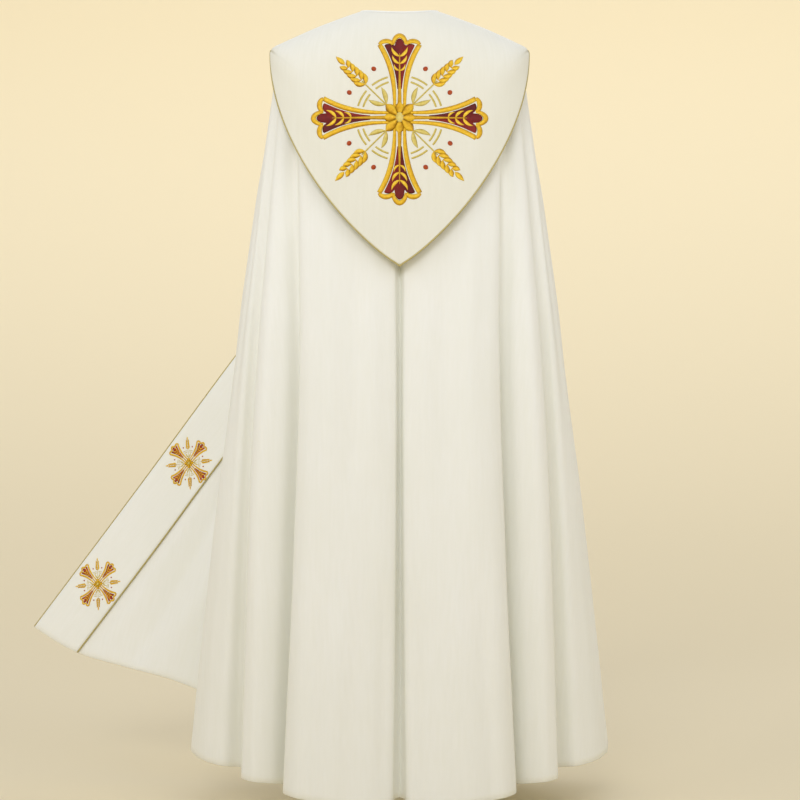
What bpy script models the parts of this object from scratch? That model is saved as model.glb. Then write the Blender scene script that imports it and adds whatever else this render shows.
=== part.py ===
"""A cope: a floor-length processional cloak, filled out as when worn, seen best from behind.

Metres, +Z up. The origin is the middle of the neck opening, at the height of the nape. -Y is the wearer's
back, +X the wearer's right hand. The left front, at -X, is swung open, so its band faces backwards.
Each half of the cloak is a loft through the rings of a general figure and the folds of its mid and hem
lines.
"""

from collections import namedtuple

import bpy
import numpy as np

SEAM_GAP = 0.0003
CLOTH = 0.0015
BAND_CLOTH = 0.0015
HOOD_CLOTH = 0.0018
BAND_WIDTH = 0.113
BAND_LEAST_YOKE = 0.012
PIPING_RADIUS = 0.0015
INNER_PIPING_LIFT = 0.0025
BINDING_RADIUS = 0.0024
BINDING_CENTRE = 0.0004
CLASP_TOP_DRAPE = 0.088
CLASP_LOW_DRAPE = 0.140
CLASP_REACH = 0.058
CLASP_CLOTH = 0.0025
CLASP_LIFT = 0.0024
CLASP_STEPS = 5
MID_SHARE = 0.40
WAIST_DRAPE = 0.48
MID_DRAPE = 0.72
LOW_DRAPE = 1.08
HEM_DRAPE = 1.44
FULL_TURN_OF_SIDE = 92.0
COLUMN_PITCH = 0.023
LEAST_COLUMN = 0.004
BAND_COLUMNS = 4
BINDING_SKIP = 3
FINE_COLUMNS = 240
SLOPE_STEP = 0.0005

IVORY = (0.82, 0.79, 0.66, 1.0)
GOLD = (0.45, 0.36, 0.13, 1.0)

# Rings of the figure that the cloak lies on. drape is the way down the cloth from the neck at the centre
# back, growth is how far the folds have formed there, and edge_right and edge_left are each front edge's
# distance from the middle.
Ring = namedtuple(
    "Ring", "name drape side back front z_side z_back z_front square growth edge_right edge_left"
)
RINGS = (
    Ring("neck", 0.000, 0.074, 0.056, 0.064, 0.006, -0.004, -0.032, 2.0, 0.00, 0.050, 0.050),
    Ring("collar", 0.037, 0.105, 0.080, 0.086, -0.007, -0.032, -0.060, 2.1, 0.05, 0.048, 0.048),
    Ring("yoke", 0.094, 0.160, 0.104, 0.108, -0.031, -0.078, -0.100, 2.3, 0.20, 0.046, 0.046),
    Ring("shoulder", 0.150, 0.208, 0.121, 0.124, -0.055, -0.130, -0.148, 2.5, 0.50, 0.045, 0.050),
    Ring("turn", 0.190, 0.226, 0.129, 0.133, -0.075, -0.175, -0.190, 2.5, 0.80, 0.045, 0.056),
    Ring("arm", 0.240, 0.232, 0.135, 0.140, -0.120, -0.230, -0.235, 2.5, 1.00, 0.045, 0.070),
)

# Lines that run down the cloth. angle is where one crosses the arm ring, from 0 at the centre back to 180 at
# the centre front, and inset is how far inside that ring it lies. x is the distance from the middle of the
# cloak. The waist columns place the lines that turn back there, and swell pulls a line outward halfway from
# mid to hem.
Fold = namedtuple(
    "Fold",
    "name angle inset mid_x mid_y hem_x hem_y hem_z waist_x waist_y swell",
    defaults=(None, None, 0.0),
)
BACK_FOLDS = (
    Fold("pleat_seam", 0.0, 0.010, 0.0000, -0.172, 0.0000, -0.241, -1.407),
    Fold("pleat_wall", 0.6, 0.006, 0.0045, -0.176, 0.0085, -0.249, -1.409),
    Fold("pleat_edge", 1.1, 0.000, 0.0058, -0.184, 0.0120, -0.264, -1.412),
    Fold("panel_inner", 5.5, 0.000, 0.0240, -0.193, 0.0320, -0.277, -1.413),
    Fold("panel_middle", 17.0, 0.000, 0.0750, -0.198, 0.0920, -0.285, -1.412),
    Fold("panel_outer", 32.0, 0.000, 0.1300, -0.194, 0.1550, -0.279, -1.406),
    Fold("crest_b", 42.0, 0.000, 0.1660, -0.182, 0.1910, -0.262, -1.401),
    Fold("crest_b_edge", 45.0, 0.001, 0.1775, -0.167, 0.2040, -0.238, -1.399),
    Fold("turn_b", 47.5, 0.004, 0.1745, -0.154, 0.1940, -0.216, -1.397),
    Fold("valley_b_inner", 50.0, 0.007, 0.1690, -0.141, 0.1820, -0.196, -1.395),
    Fold("valley_b", 52.5, 0.007, 0.1765, -0.132, 0.1885, -0.184, -1.394),
    Fold("rise_c", 55.5, 0.004, 0.1950, -0.134, 0.2110, -0.192, -1.391),
    Fold("crest_c_inner", 58.5, 0.001, 0.2160, -0.143, 0.2350, -0.204, -1.388),
    Fold("crest_c", 62.0, 0.000, 0.2370, -0.148, 0.2570, -0.212, -1.385),
    Fold("crest_c_edge", 66.0, 0.001, 0.2540, -0.134, 0.2815, -0.194, -1.382),
    Fold("turn_c", 69.0, 0.004, 0.2530, -0.118, 0.2750, -0.167, -1.380),
    Fold("valley_c_inner", 72.0, 0.006, 0.2460, -0.100, 0.2610, -0.142, -1.378),
    Fold("valley_c", 75.0, 0.005, 0.2530, -0.088, 0.2690, -0.124, -1.376),
    Fold("rise_d", 78.0, 0.003, 0.2670, -0.084, 0.2920, -0.124, -1.373),
    Fold("crest_d_inner", 81.0, 0.000, 0.2790, -0.082, 0.3180, -0.130, -1.370),
    Fold("crest_d", 84.5, 0.000, 0.2920, -0.066, 0.3500, -0.111, -1.366),
    Fold("crest_d_outer", 88.0, 0.000, 0.2990, -0.037, 0.3770, -0.064, -1.360),
    Fold("side", 92.0, 0.000, 0.3000, -0.004, 0.3860, -0.014, -1.354),
)
LEFT_FOLDS = (
    Fold("side_front", 97.0, 0.000, 0.2930, 0.030, 0.3740, 0.030, -1.346),
    Fold("inner_turn", 104.0, 0.004, 0.2350, 0.060, 0.3280, 0.060, -1.334),
    Fold("wing_valley", 112.0, 0.007, 0.1640, 0.086, 0.3010, 0.086, -1.315, 0.188, 0.096),
    Fold("wing_root", 119.0, 0.004, 0.1560, 0.116, 0.3360, 0.110, -1.291, 0.173, 0.122),
    Fold("wing_inner", 129.0, 0.000, 0.1920, 0.140, 0.4300, 0.139, -1.253, 0.170, 0.152, 0.004),
    Fold("wing_middle", 139.0, 0.000, 0.2320, 0.161, 0.5420, 0.197, -1.231, 0.168, 0.184, 0.006),
    Fold("wing_outer", 150.0, 0.000, 0.2665, 0.180, 0.6360, 0.247, -1.2105, 0.166, 0.213, 0.007),
    Fold("left_edge", 162.6, 0.000, 0.3005, 0.200, 0.7290, 0.300, -1.1666, 0.162, 0.240, 0.008),
)
RIGHT_FOLDS = (
    Fold("side_front", 97.0, 0.000, 0.3000, 0.030, 0.3880, 0.032, -1.350),
    Fold("crest_e", 102.0, 0.000, 0.2920, 0.066, 0.3650, 0.092, -1.350),
    Fold("crest_e_edge", 106.0, 0.002, 0.2710, 0.088, 0.3310, 0.122, -1.350),
    Fold("turn_e", 110.0, 0.005, 0.2490, 0.092, 0.2960, 0.108, -1.351),
    Fold("valley_e", 114.0, 0.006, 0.2320, 0.101, 0.2680, 0.122, -1.352),
    Fold("rise_f", 118.0, 0.003, 0.2230, 0.122, 0.2580, 0.164, -1.353),
    Fold("crest_f", 123.0, 0.000, 0.2060, 0.145, 0.2390, 0.206, -1.355),
    Fold("crest_f_edge", 127.0, 0.001, 0.1860, 0.155, 0.2100, 0.219, -1.356),
    Fold("valley_f", 132.0, 0.004, 0.1680, 0.152, 0.1840, 0.202, -1.357),
    Fold("rise_g", 137.0, 0.001, 0.1560, 0.161, 0.1680, 0.216, -1.358),
    Fold("crest_g", 142.0, 0.000, 0.1400, 0.178, 0.1500, 0.248, -1.360),
    Fold("band_middle", 158.0, 0.000, 0.0880, 0.188, 0.0920, 0.258, -1.362),
    Fold("right_edge", 171.4, 0.000, 0.0360, 0.192, 0.0350, 0.260, -1.364),
)

# Distances down the cloth at which the solids have a row of points.
CLOAK_ROWS = (
    0.0, 0.005, 0.020, 0.037, 0.065, 0.094, 0.122, 0.150, 0.170, 0.190, 0.215, 0.240,
    0.310, 0.395, 0.480, 0.560, 0.640, 0.740, 0.860, 1.000, 1.140, 1.290, 1.440,
)  # fmt: skip

# The hood's own rings, clear of the cloak. Its lower ones are as deep as the hood hangs at the centre back.
HoodRing = namedtuple("HoodRing", "name drape side back z_side z_back square")
HOOD_RINGS = (
    HoodRing("neck", 0.000, 0.0750, 0.0570, 0.0060, -0.004, 2.0),
    HoodRing("collar", 0.037, 0.1070, 0.0822, -0.0055, -0.031, 2.1),
    HoodRing("yoke", 0.094, 0.1640, 0.1090, -0.0280, -0.077, 2.3),
    HoodRing("shoulder", 0.150, 0.2150, 0.1275, -0.0530, -0.128, 2.5),
    HoodRing("corner", 0.192, 0.2360, 0.1370, -0.0660, -0.170, 2.5),
    HoodRing("upper", 0.250, 0.2440, 0.1460, -0.1050, -0.225, 2.6),
    HoodRing("low", 0.367, 0.2560, 0.1640, -0.2000, -0.340, 2.7),
    HoodRing("tip", 0.500, 0.2700, 0.1850, -0.3100, -0.4715, 2.8),
)
HOOD_CORNER_DRAPE = 0.192
HOOD_TOP_Z = -0.0654
HOOD_DROP = 0.4055
HOOD_HALF_WIDTH = 0.236
HOOD_CURVE = 1.88
HOOD_POINT = 0.85
HOOD_SIDE_ANGLE = 91.0
HOOD_LAST_ANGLE = 0.04
HOOD_ROWS = 17
HOOD_COLUMNS = 28


def unit(vectors):
    """The vectors at length 1."""
    return vectors / np.linalg.norm(vectors, axis=-1, keepdims=True)


def curve_weights(keys, at):
    """Weights that give a smooth curve through values at keys, one row for each number in at."""
    keys, at = np.asarray(keys, float), np.asarray(at, float)
    count = len(keys)
    steps = np.diff(keys)
    slopes = (np.eye(count)[1:] - np.eye(count)[:-1]) / steps[:, None]
    tangents = np.zeros((count, count))
    for k in range(1, count - 1):
        before, after = steps[k - 1], steps[k]
        tangents[k] = (slopes[k - 1] * after + slopes[k] * before) / (before + after)
    tangents[0] = 1.5 * slopes[0] - 0.5 * tangents[1]
    tangents[-1] = 1.5 * slopes[-1] - 0.5 * tangents[-2]
    cell = np.clip(np.searchsorted(keys, at, side="right") - 1, 0, count - 2)
    step = steps[cell][:, None]
    part = ((at - keys[cell]) / steps[cell])[:, None]
    unit = np.eye(count)
    return (
        (2 * part**3 - 3 * part**2 + 1) * unit[cell]
        + (part**3 - 2 * part**2 + part) * step * tangents[cell]
        + (3 * part**2 - 2 * part**3) * unit[cell + 1]
        + (part**3 - part**2) * step * tangents[cell + 1]
    )


def ring_point(side, depth, z_side, z_far, square, angle, inset=0.0):
    """A point of a ring at an angle from the centre back, with depth the half depth on that side of it."""
    across, along = abs(np.sin(np.radians(angle))), abs(np.cos(np.radians(angle)))
    toward = -1.0 if angle < 90 else 1.0
    x = side * across ** (2 / square)
    y = toward * depth * along ** (2 / square)
    z = z_side * across**2 + z_far * along**2
    inward = -np.array([x / side**2, y / depth**2])
    inward /= np.linalg.norm(inward)
    return np.array([x + inset * inward[0], y + inset * inward[1], z])


def edge_angle(ring, edge):
    """The angle at which a front edge crosses a ring."""
    return 180.0 - np.degrees(np.arcsin((edge / ring.side) ** (ring.square / 2)))


def fold_line(fold, last_angle, edges):
    """The points of one fold line at the rings, at mid height and at the hem."""
    points = []
    for ring, edge in zip(RINGS, edges):
        angle = fold.angle
        if angle > FULL_TURN_OF_SIDE:
            share = (angle - FULL_TURN_OF_SIDE) / (last_angle - FULL_TURN_OF_SIDE)
            angle = FULL_TURN_OF_SIDE + share * (edge_angle(ring, edge) - FULL_TURN_OF_SIDE)
        behind = angle < 90
        points.append(
            ring_point(
                ring.side,
                ring.back if behind else ring.front,
                ring.z_side,
                ring.z_back if behind else ring.z_front,
                ring.square,
                angle,
                fold.inset * ring.growth,
            )
        )
    arm_z = points[-1][2]
    mid_z = arm_z + MID_SHARE * (fold.hem_z - arm_z)
    points.append(np.array([fold.mid_x, fold.mid_y, mid_z]))
    points.append(np.array([fold.hem_x, fold.hem_y, fold.hem_z]))
    drapes = [ring.drape for ring in RINGS] + [MID_DRAPE, HEM_DRAPE]
    waist, low = curve_weights(drapes, [WAIST_DRAPE, LOW_DRAPE]) @ np.array(points)
    if fold.waist_x is not None:
        waist[:2] = fold.waist_x, fold.waist_y
    low[0] += fold.swell
    return np.array([*points[:-2], waist, points[-2], low, points[-1]])


class CloakHalf:
    """The smooth surface of one half of the cloak, from the centre back seam to the front edge, at +X."""

    def __init__(self, front_folds, edges):
        folds = BACK_FOLDS + front_folds
        lines = np.array([fold_line(fold, front_folds[-1].angle, edges) for fold in folds])
        hem_steps = np.linalg.norm(np.diff(lines[:, -1], axis=0), axis=1)
        arm_steps = np.linalg.norm(np.diff(lines[:, len(RINGS) - 1], axis=0), axis=1)
        across = np.concatenate([[0], np.cumsum(0.6 * hem_steps + 0.4 * arm_steps)])
        mirrored = lines[1] * np.array([-1, 1, 1])
        self.lines = np.concatenate([mirrored[None], lines])
        self.across = np.concatenate([[-across[1]], across])
        self.drapes = [ring.drape for ring in RINGS] + [WAIST_DRAPE, MID_DRAPE, LOW_DRAPE, HEM_DRAPE]
        self.side_across = across[len(BACK_FOLDS) - 1]
        self.edge_across = across[-1]
        self.fold_across = across
        self.fold_steps = hem_steps

    def points(self, across, drape):
        """The surface points at one distance down the cloth."""
        down = curve_weights(self.drapes, [drape])[0]
        return curve_weights(self.across, across) @ np.einsum("s,fsk->fk", down, self.lines)

    def normals(self, across, drape):
        """The outward normals at those points."""
        across = np.asarray(across, float)
        top = max(drape - SLOPE_STEP, 0.0)
        low = min(drape + SLOPE_STEP, HEM_DRAPE)
        down = self.points(across, low) - self.points(across, top)
        last = np.minimum(across + SLOPE_STEP, self.edge_across)
        along = self.points(last, drape) - self.points(across - SLOPE_STEP, drape)
        return unit(np.cross(down, along))

    def front_row(self, drape):
        """Close positions from the side to the front edge, their points and their way to the edge."""
        fine = np.linspace(self.side_across, self.edge_across, FINE_COLUMNS)
        row = self.points(fine, drape)
        steps = np.linalg.norm(np.diff(row, axis=0), axis=1)
        return fine, row, np.concatenate([np.cumsum(steps[::-1])[::-1], [0]])

    def band_line(self, drape):
        """Where the band's inner edge lies in this row, with the band's width square to the front edge."""
        fine, row, to_edge = self.front_row(drape)
        top, low = max(drape - SLOPE_STEP, 0.0), min(drape + SLOPE_STEP, HEM_DRAPE)
        down = self.points(fine[-1:], low)[0] - self.points(fine[-1:], top)[0]
        square = np.linalg.norm(np.cross(unit(row[-1] - row[-2]), unit(down)))
        width = min(BAND_WIDTH / square, to_edge[0] - BAND_LEAST_YOKE)
        return np.interp(-width, -to_edge, fine)

    def columns(self, drape):
        """Positions across the cloth for one row: along the folds, then evenly over the band."""
        plain = [0.0]
        for start, end, step in zip(self.fold_across, self.fold_across[1:], self.fold_steps):
            count = max(1, round(step / COLUMN_PITCH))
            plain += list(np.linspace(start, end, count + 1)[1:])
        plain = np.array(plain)
        hem_line = self.band_line(HEM_DRAPE)
        line = self.band_line(drape)
        kept = plain[plain < hem_line - LEAST_COLUMN]
        beyond = kept > self.side_across
        scale = (line - self.side_across) / (hem_line - self.side_across)
        kept[beyond] = self.side_across + (kept[beyond] - self.side_across) * scale
        band = np.linspace(line, self.edge_across, BAND_COLUMNS + 1)
        return np.concatenate([kept, band])

    def grid(self, rows):
        """Surface points and normals for the rows, with the seam moved out by half its gap."""
        points, normals = [], []
        for drape in rows:
            across = self.columns(drape)
            points.append(self.points(across, drape))
            normals.append(self.normals(across, drape))
        points = np.array(points)
        points[:, :, 0] += SEAM_GAP / 2
        return points, np.array(normals)


def material(name, colour, roughness):
    """A plain cloth or cord material."""
    made = bpy.data.materials.new(name)
    made.use_nodes = True
    shader = made.node_tree.nodes["Principled BSDF"]
    shader.inputs["Base Color"].default_value = colour
    shader.inputs["Roughness"].default_value = roughness
    return made


def add_object(name, data, finish, collection):
    """An object with its material, in the collection."""
    data.materials.append(finish)
    made = bpy.data.objects.new(name, data)
    collection.objects.link(made)
    return made


def wall(name, outside, inside, mirrored, finish, collection):
    """A closed cloth wall lofted between an outer and an inner grid of points."""
    rows, columns = outside.shape[:2]
    points = np.concatenate([outside.reshape(-1, 3), inside.reshape(-1, 3)])
    if mirrored:
        points = points * np.array([-1, 1, 1])
    behind = rows * columns
    faces = []

    def quad(a, b, c, d):
        faces.extend([(a, b, c), (a, c, d)])

    for i in range(rows - 1):
        for j in range(columns - 1):
            a, b = i * columns + j, i * columns + j + 1
            c, d = b + columns, a + columns
            quad(a, d, c, b)
            quad(behind + a, behind + b, behind + c, behind + d)
    for j in range(columns - 1):
        top, low = j, (rows - 1) * columns + j
        quad(top, top + 1, behind + top + 1, behind + top)
        quad(low, behind + low, behind + low + 1, low + 1)
    for i in range(rows - 1):
        first, last = i * columns, i * columns + columns - 1
        quad(first, behind + first, behind + first + columns, first + columns)
        quad(last, last + columns, behind + last + columns, behind + last)
    if mirrored:
        faces = [face[::-1] for face in faces]
    mesh = bpy.data.meshes.new(name)
    mesh.from_pydata(points.tolist(), [], faces)
    mesh.shade_smooth()
    return add_object(name, mesh, finish, collection)


def cord(name, points, radius, mirrored, finish, collection):
    """A round cord along a line of points."""
    points = np.asarray(points, float)
    if mirrored:
        points = points * np.array([-1, 1, 1])
    curve = bpy.data.curves.new(name, "CURVE")
    curve.dimensions = "3D"
    curve.bevel_depth = radius
    curve.bevel_resolution = 1
    curve.use_fill_caps = True
    spline = curve.splines.new("POLY")
    spline.points.add(len(points) - 1)
    for place, point in zip(spline.points, points):
        place.co = (*point, 1.0)
    return add_object(name, curve, finish, collection)


def beside(line, normals, distance):
    """A line along the cloth at a distance from another, to the left of it as seen from outside."""
    steps = unit(np.diff(line, axis=0))
    before, after = np.concatenate([steps[:1], steps]), np.concatenate([steps, steps[-1:]])
    along = unit(before + after)
    stretch = 1 / np.sum(along * after, axis=1, keepdims=True)
    return line + distance * stretch * unit(np.cross(normals, along))


def cloak_half(side, half, mirrored, cloth, gold, collection):
    """One half of the cloak, the band on its front edge, and the piping on both sides of the band."""
    points, normals = half.grid(CLOAK_ROWS)
    wall(f"body_{side}", points, points - CLOTH * normals, mirrored, cloth, collection)

    band = slice(-(BAND_COLUMNS + 1), None)
    points, normals = points[1:, band], normals[1:, band]
    lifted = points + SEAM_GAP * normals
    outside = lifted + BAND_CLOTH * normals
    wall(f"orphrey_{side}", outside, lifted, mirrored, cloth, collection)

    out = PIPING_RADIUS + SEAM_GAP
    edge_line = beside(points[:, -1], normals[:, -1], out) + 0.5 * SEAM_GAP * normals[:, -1]
    inner_line = beside(points[:, 0], normals[:, 0], -out) + INNER_PIPING_LIFT * normals[:, 0]
    cord(f"piping_edge_{side}", edge_line, PIPING_RADIUS, mirrored, gold, collection)
    cord(f"piping_inner_{side}", inner_line, PIPING_RADIUS, mirrored, gold, collection)


def hood_half_width(z):
    """The hood's half width at a height, as its side edge curves down to the tip."""
    down = np.clip((HOOD_TOP_Z - z) / HOOD_DROP, 0, 1)
    return HOOD_HALF_WIDTH * (1 - down**HOOD_CURVE) ** HOOD_POINT


def hood_point(values, angle):
    """A point of the hood at an angle either side of the centre back, from one ring's values."""
    side, back, z_side, z_back, square = values
    point = ring_point(side, back, z_side, z_back, square, min(abs(angle), 89.999))
    if abs(angle) > 90:
        point[1] = (abs(angle) - 90) * np.radians(side)
    point[0] *= np.sign(angle) if angle else 0.0
    return point


def hood_end_angle(values, drape):
    """How far round the hood reaches at this distance down, from the curve of its side edge."""
    if drape <= HOOD_CORNER_DRAPE:
        return HOOD_SIDE_ANGLE
    low, high = 0.0, HOOD_SIDE_ANGLE
    for _ in range(40):
        middle = (low + high) / 2
        point = hood_point(values, middle)
        if point[0] < hood_half_width(point[2]):
            low = middle
        else:
            high = middle
    return max(low, HOOD_LAST_ANGLE)


def hood_grid():
    """The hood's outer points and normals, from the neck to the tip and from its left edge to its right."""
    keys = [ring.drape for ring in HOOD_RINGS]
    table = np.array([ring[2:] for ring in HOOD_RINGS], float)
    upper = np.linspace(0, HOOD_CORNER_DRAPE, 7)
    lower = np.linspace(HOOD_CORNER_DRAPE, keys[-1], HOOD_ROWS - 6)[1:]
    rows = np.concatenate([upper, lower])
    shares = np.linspace(-1, 1, HOOD_COLUMNS + 1)

    def row_points(drape, ends):
        values = curve_weights(keys, [drape])[0] @ table
        return np.array([hood_point(values, share * ends) for share in shares])

    points, normals = [], []
    for drape in rows:
        values = curve_weights(keys, [drape])[0] @ table
        ends = hood_end_angle(values, drape)
        low = min(drape + SLOPE_STEP, keys[-1])
        top = max(drape - SLOPE_STEP, 0.0)
        row = row_points(drape, ends)
        down = row_points(low, ends) - row_points(top, ends)
        normals.append(unit(np.cross(down, np.gradient(row, axis=0))))
        points.append(row)
    return np.array(points), np.array(normals)


def add_hood(cloth, gold, collection):
    """The shield-shaped hood and the piping round its free edge."""
    points, normals = hood_grid()
    wall("hood", points + HOOD_CLOTH * normals, points, False, cloth, collection)

    middle = points + 0.5 * HOOD_CLOTH * normals
    corner_row = 6
    out = PIPING_RADIUS + SEAM_GAP
    right_line = beside(middle[corner_row:, -1], normals[corner_row:, -1], out)[:-1]
    tip = middle[-1, HOOD_COLUMNS // 2] + np.array([0, 0, -2 * out])
    left_line = right_line * np.array([-1, 1, 1])
    line = np.concatenate([left_line, tip[None], right_line[::-1]])
    cord("piping_hood", line, PIPING_RADIUS, False, gold, collection)


def add_neck_binding(left, right, cloth, collection):
    """The binding along the top edges of the cloak and hood, from one front edge to the other."""

    def half_line(half):
        columns = half.columns(0.0)
        band = columns[-(BAND_COLUMNS + 1) :]
        across = np.concatenate([columns[: -(BAND_COLUMNS + 1) : BINDING_SKIP], band])
        top, normals = half.points(across, 0.0), half.normals(across, 0.0)
        return beside(top, normals, BINDING_RADIUS + SEAM_GAP) + BINDING_CENTRE * normals

    mirrored = half_line(left)[::-1] * np.array([-1, 1, 1])
    line = np.concatenate([mirrored, half_line(right)[1:]])
    cord("neck_binding", line, BINDING_RADIUS, False, cloth, collection)


def add_clasp_tab(left, right, cloth, collection):
    """The plain tab across the chest that joins the two fronts."""
    rows = np.linspace(CLASP_TOP_DRAPE, CLASP_LOW_DRAPE, CLASP_STEPS)
    reach = np.linspace(CLASP_REACH, LEAST_COLUMN, CLASP_STEPS)

    def half_rows(half):
        points, normals = [], []
        for drape in rows:
            fine, _, to_edge = half.front_row(drape)
            across = np.interp(-reach, -to_edge, fine)
            points.append(half.points(across, drape))
            normals.append(half.normals(across, drape))
        return np.array(points), np.array(normals)

    flip = np.array([-1, 1, 1])
    left_points, left_normals = (values * flip for values in half_rows(left))
    right_points, right_normals = half_rows(right)
    points = np.concatenate([right_points, left_points[:, ::-1]], axis=1)
    normals = np.concatenate([right_normals, left_normals[:, ::-1]], axis=1)
    inside = points + CLASP_LIFT * normals
    wall("clasp_tab", inside + CLASP_CLOTH * normals, inside, False, cloth, collection)


def main():
    """Builds the cope."""
    for old in list(bpy.data.objects):
        bpy.data.objects.remove(old, do_unlink=True)
    collection = bpy.data.collections.new("cope")
    bpy.context.scene.collection.children.link(collection)
    cloth = material("ivory_cloth", IVORY, 0.85)
    gold = material("gold_cord", GOLD, 0.45)

    left = CloakHalf(LEFT_FOLDS, [ring.edge_left for ring in RINGS])
    right = CloakHalf(RIGHT_FOLDS, [ring.edge_right for ring in RINGS])
    cloak_half("left", left, True, cloth, gold, collection)
    cloak_half("right", right, False, cloth, gold, collection)
    add_hood(cloth, gold, collection)
    add_neck_binding(left, right, cloth, collection)
    add_clasp_tab(left, right, cloth, collection)


main()
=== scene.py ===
"""Looks of a cope: a floor-length ivory cloak with a shield-shaped hood, front bands and stitched crosses.

Metres, +Z up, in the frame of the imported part. -Y is the wearer's back and +X the wearer's right hand.
"""

import logging
import math
from collections.abc import Iterable, Sequence
from dataclasses import dataclass, field, replace
from enum import Enum

import bpy
import numpy as np
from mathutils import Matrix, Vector
from mathutils.bvhtree import BVHTree
from mathutils.interpolate import poly_3d_calc


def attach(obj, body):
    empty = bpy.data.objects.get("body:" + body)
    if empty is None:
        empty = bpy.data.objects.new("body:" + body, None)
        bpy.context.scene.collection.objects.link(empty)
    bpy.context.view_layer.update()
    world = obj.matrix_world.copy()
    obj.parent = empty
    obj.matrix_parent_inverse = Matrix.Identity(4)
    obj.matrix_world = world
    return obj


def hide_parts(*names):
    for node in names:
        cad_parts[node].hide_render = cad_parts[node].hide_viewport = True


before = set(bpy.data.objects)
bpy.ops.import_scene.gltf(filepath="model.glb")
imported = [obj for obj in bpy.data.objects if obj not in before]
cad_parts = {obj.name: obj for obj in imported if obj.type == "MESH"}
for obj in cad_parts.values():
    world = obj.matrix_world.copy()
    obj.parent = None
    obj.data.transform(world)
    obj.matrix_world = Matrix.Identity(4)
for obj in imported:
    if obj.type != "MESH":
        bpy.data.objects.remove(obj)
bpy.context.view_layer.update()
LOG = logging.getLogger("cope")

# Pieces that are sewn together lie this far apart.
SEAM_GAP = 0.0003
SLOPE_STEP = 0.0005
# Distances down the cloth from the neck edge, after those of the rings.
WAIST_DRAPE, MID_DRAPE, LOW_DRAPE, HEM_DRAPE = 0.48, 0.72, 1.08, 1.44
MID_SHARE = 0.40
SIDE_ANGLE = 92.0
TURN_SHARE = 0.45
FRONT_STEPS = 240
LEAF_ROWS = 11
LEAST_STITCH = 0.0003
STITCH_SINK = 0.0002
MID_TONE = 0.5
FLIP_X = np.array([-1.0, 1.0, 1.0])
FLIPPED = [0, 3, 2, 1]
BOTH_SIDES = (-1, 1)

Grid = np.ndarray
Pair = tuple[float, float]


class Side(Enum):
    """The half of the cloak, named for the wearer's hand. The value is the sign of its x."""

    LEFT = -1
    RIGHT = 1

    @property
    def word(self) -> str:
        """The side's name as used in the pieces' names."""
        return self.name.lower()

    @property
    def flip(self) -> Grid:
        """What takes points that are worked out at positive x to this side."""
        return FLIP_X if self is Side.LEFT else np.ones(3)


class Thread(Enum):
    """The threads that the crosses are stitched with."""

    GOLD = "gold"
    PALE_GOLD = "pale_gold"
    CRIMSON = "crimson"
    RUST = "rust"


@dataclass(frozen=True)
class Ring:
    """A ring of the figure that the cloak lies on."""

    drape: float
    side: float
    back: float
    front: float
    z_side: float
    z_back: float
    z_front: float
    square: float
    growth: float
    edge_right: float
    edge_left: float


RINGS = (
    Ring(0.0, 0.074, 0.056, 0.064, 0.006, -0.004, -0.032, 2.0, 0.0, 0.05, 0.05),
    Ring(0.037, 0.105, 0.08, 0.086, -0.007, -0.032, -0.06, 2.1, 0.05, 0.048, 0.048),
    Ring(0.094, 0.16, 0.104, 0.108, -0.031, -0.078, -0.1, 2.3, 0.2, 0.046, 0.046),
    Ring(0.15, 0.208, 0.121, 0.124, -0.055, -0.13, -0.148, 2.5, 0.5, 0.045, 0.05),
    Ring(0.19, 0.226, 0.129, 0.133, -0.075, -0.175, -0.19, 2.5, 0.8, 0.045, 0.056),
    Ring(0.24, 0.232, 0.135, 0.14, -0.12, -0.23, -0.235, 2.5, 1.0, 0.045, 0.07),
)


@dataclass(frozen=True)
class Fold:
    """A line down the cloth: where it crosses the arm ring, and its places at mid height and at the hem."""

    angle: float
    inset: float
    mid_x: float
    mid_y: float
    hem_x: float
    hem_y: float
    hem_z: float
    waist_x: float | None = None
    waist_y: float | None = None
    swell: float = 0.0


BACK_FOLDS = (
    Fold(0.0, 0.01, 0.0, -0.172, 0.0, -0.241, -1.407),
    Fold(0.6, 0.006, 0.0045, -0.176, 0.0085, -0.249, -1.409),
    Fold(1.1, 0.0, 0.0058, -0.184, 0.012, -0.264, -1.412),
    Fold(5.5, 0.0, 0.024, -0.193, 0.032, -0.277, -1.413),
    Fold(17.0, 0.0, 0.075, -0.198, 0.092, -0.285, -1.412),
    Fold(32.0, 0.0, 0.13, -0.194, 0.155, -0.279, -1.406),
    Fold(42.0, 0.0, 0.166, -0.182, 0.191, -0.262, -1.401),
    Fold(45.0, 0.001, 0.1775, -0.167, 0.204, -0.238, -1.399),
    Fold(47.5, 0.004, 0.1745, -0.154, 0.194, -0.216, -1.397),
    Fold(50.0, 0.007, 0.169, -0.141, 0.182, -0.196, -1.395),
    Fold(52.5, 0.007, 0.1765, -0.132, 0.1885, -0.184, -1.394),
    Fold(55.5, 0.004, 0.195, -0.134, 0.211, -0.192, -1.391),
    Fold(58.5, 0.001, 0.216, -0.143, 0.235, -0.204, -1.388),
    Fold(62.0, 0.0, 0.237, -0.148, 0.257, -0.212, -1.385),
    Fold(66.0, 0.001, 0.254, -0.134, 0.2815, -0.194, -1.382),
    Fold(69.0, 0.004, 0.253, -0.118, 0.275, -0.167, -1.38),
    Fold(72.0, 0.006, 0.246, -0.1, 0.261, -0.142, -1.378),
    Fold(75.0, 0.005, 0.253, -0.088, 0.269, -0.124, -1.376),
    Fold(78.0, 0.003, 0.267, -0.084, 0.292, -0.124, -1.373),
    Fold(81.0, 0.0, 0.279, -0.082, 0.318, -0.13, -1.37),
    Fold(84.5, 0.0, 0.292, -0.066, 0.35, -0.111, -1.366),
    Fold(88.0, 0.0, 0.299, -0.037, 0.377, -0.064, -1.36),
    Fold(92.0, 0.0, 0.3, -0.004, 0.386, -0.014, -1.354),
)
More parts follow.
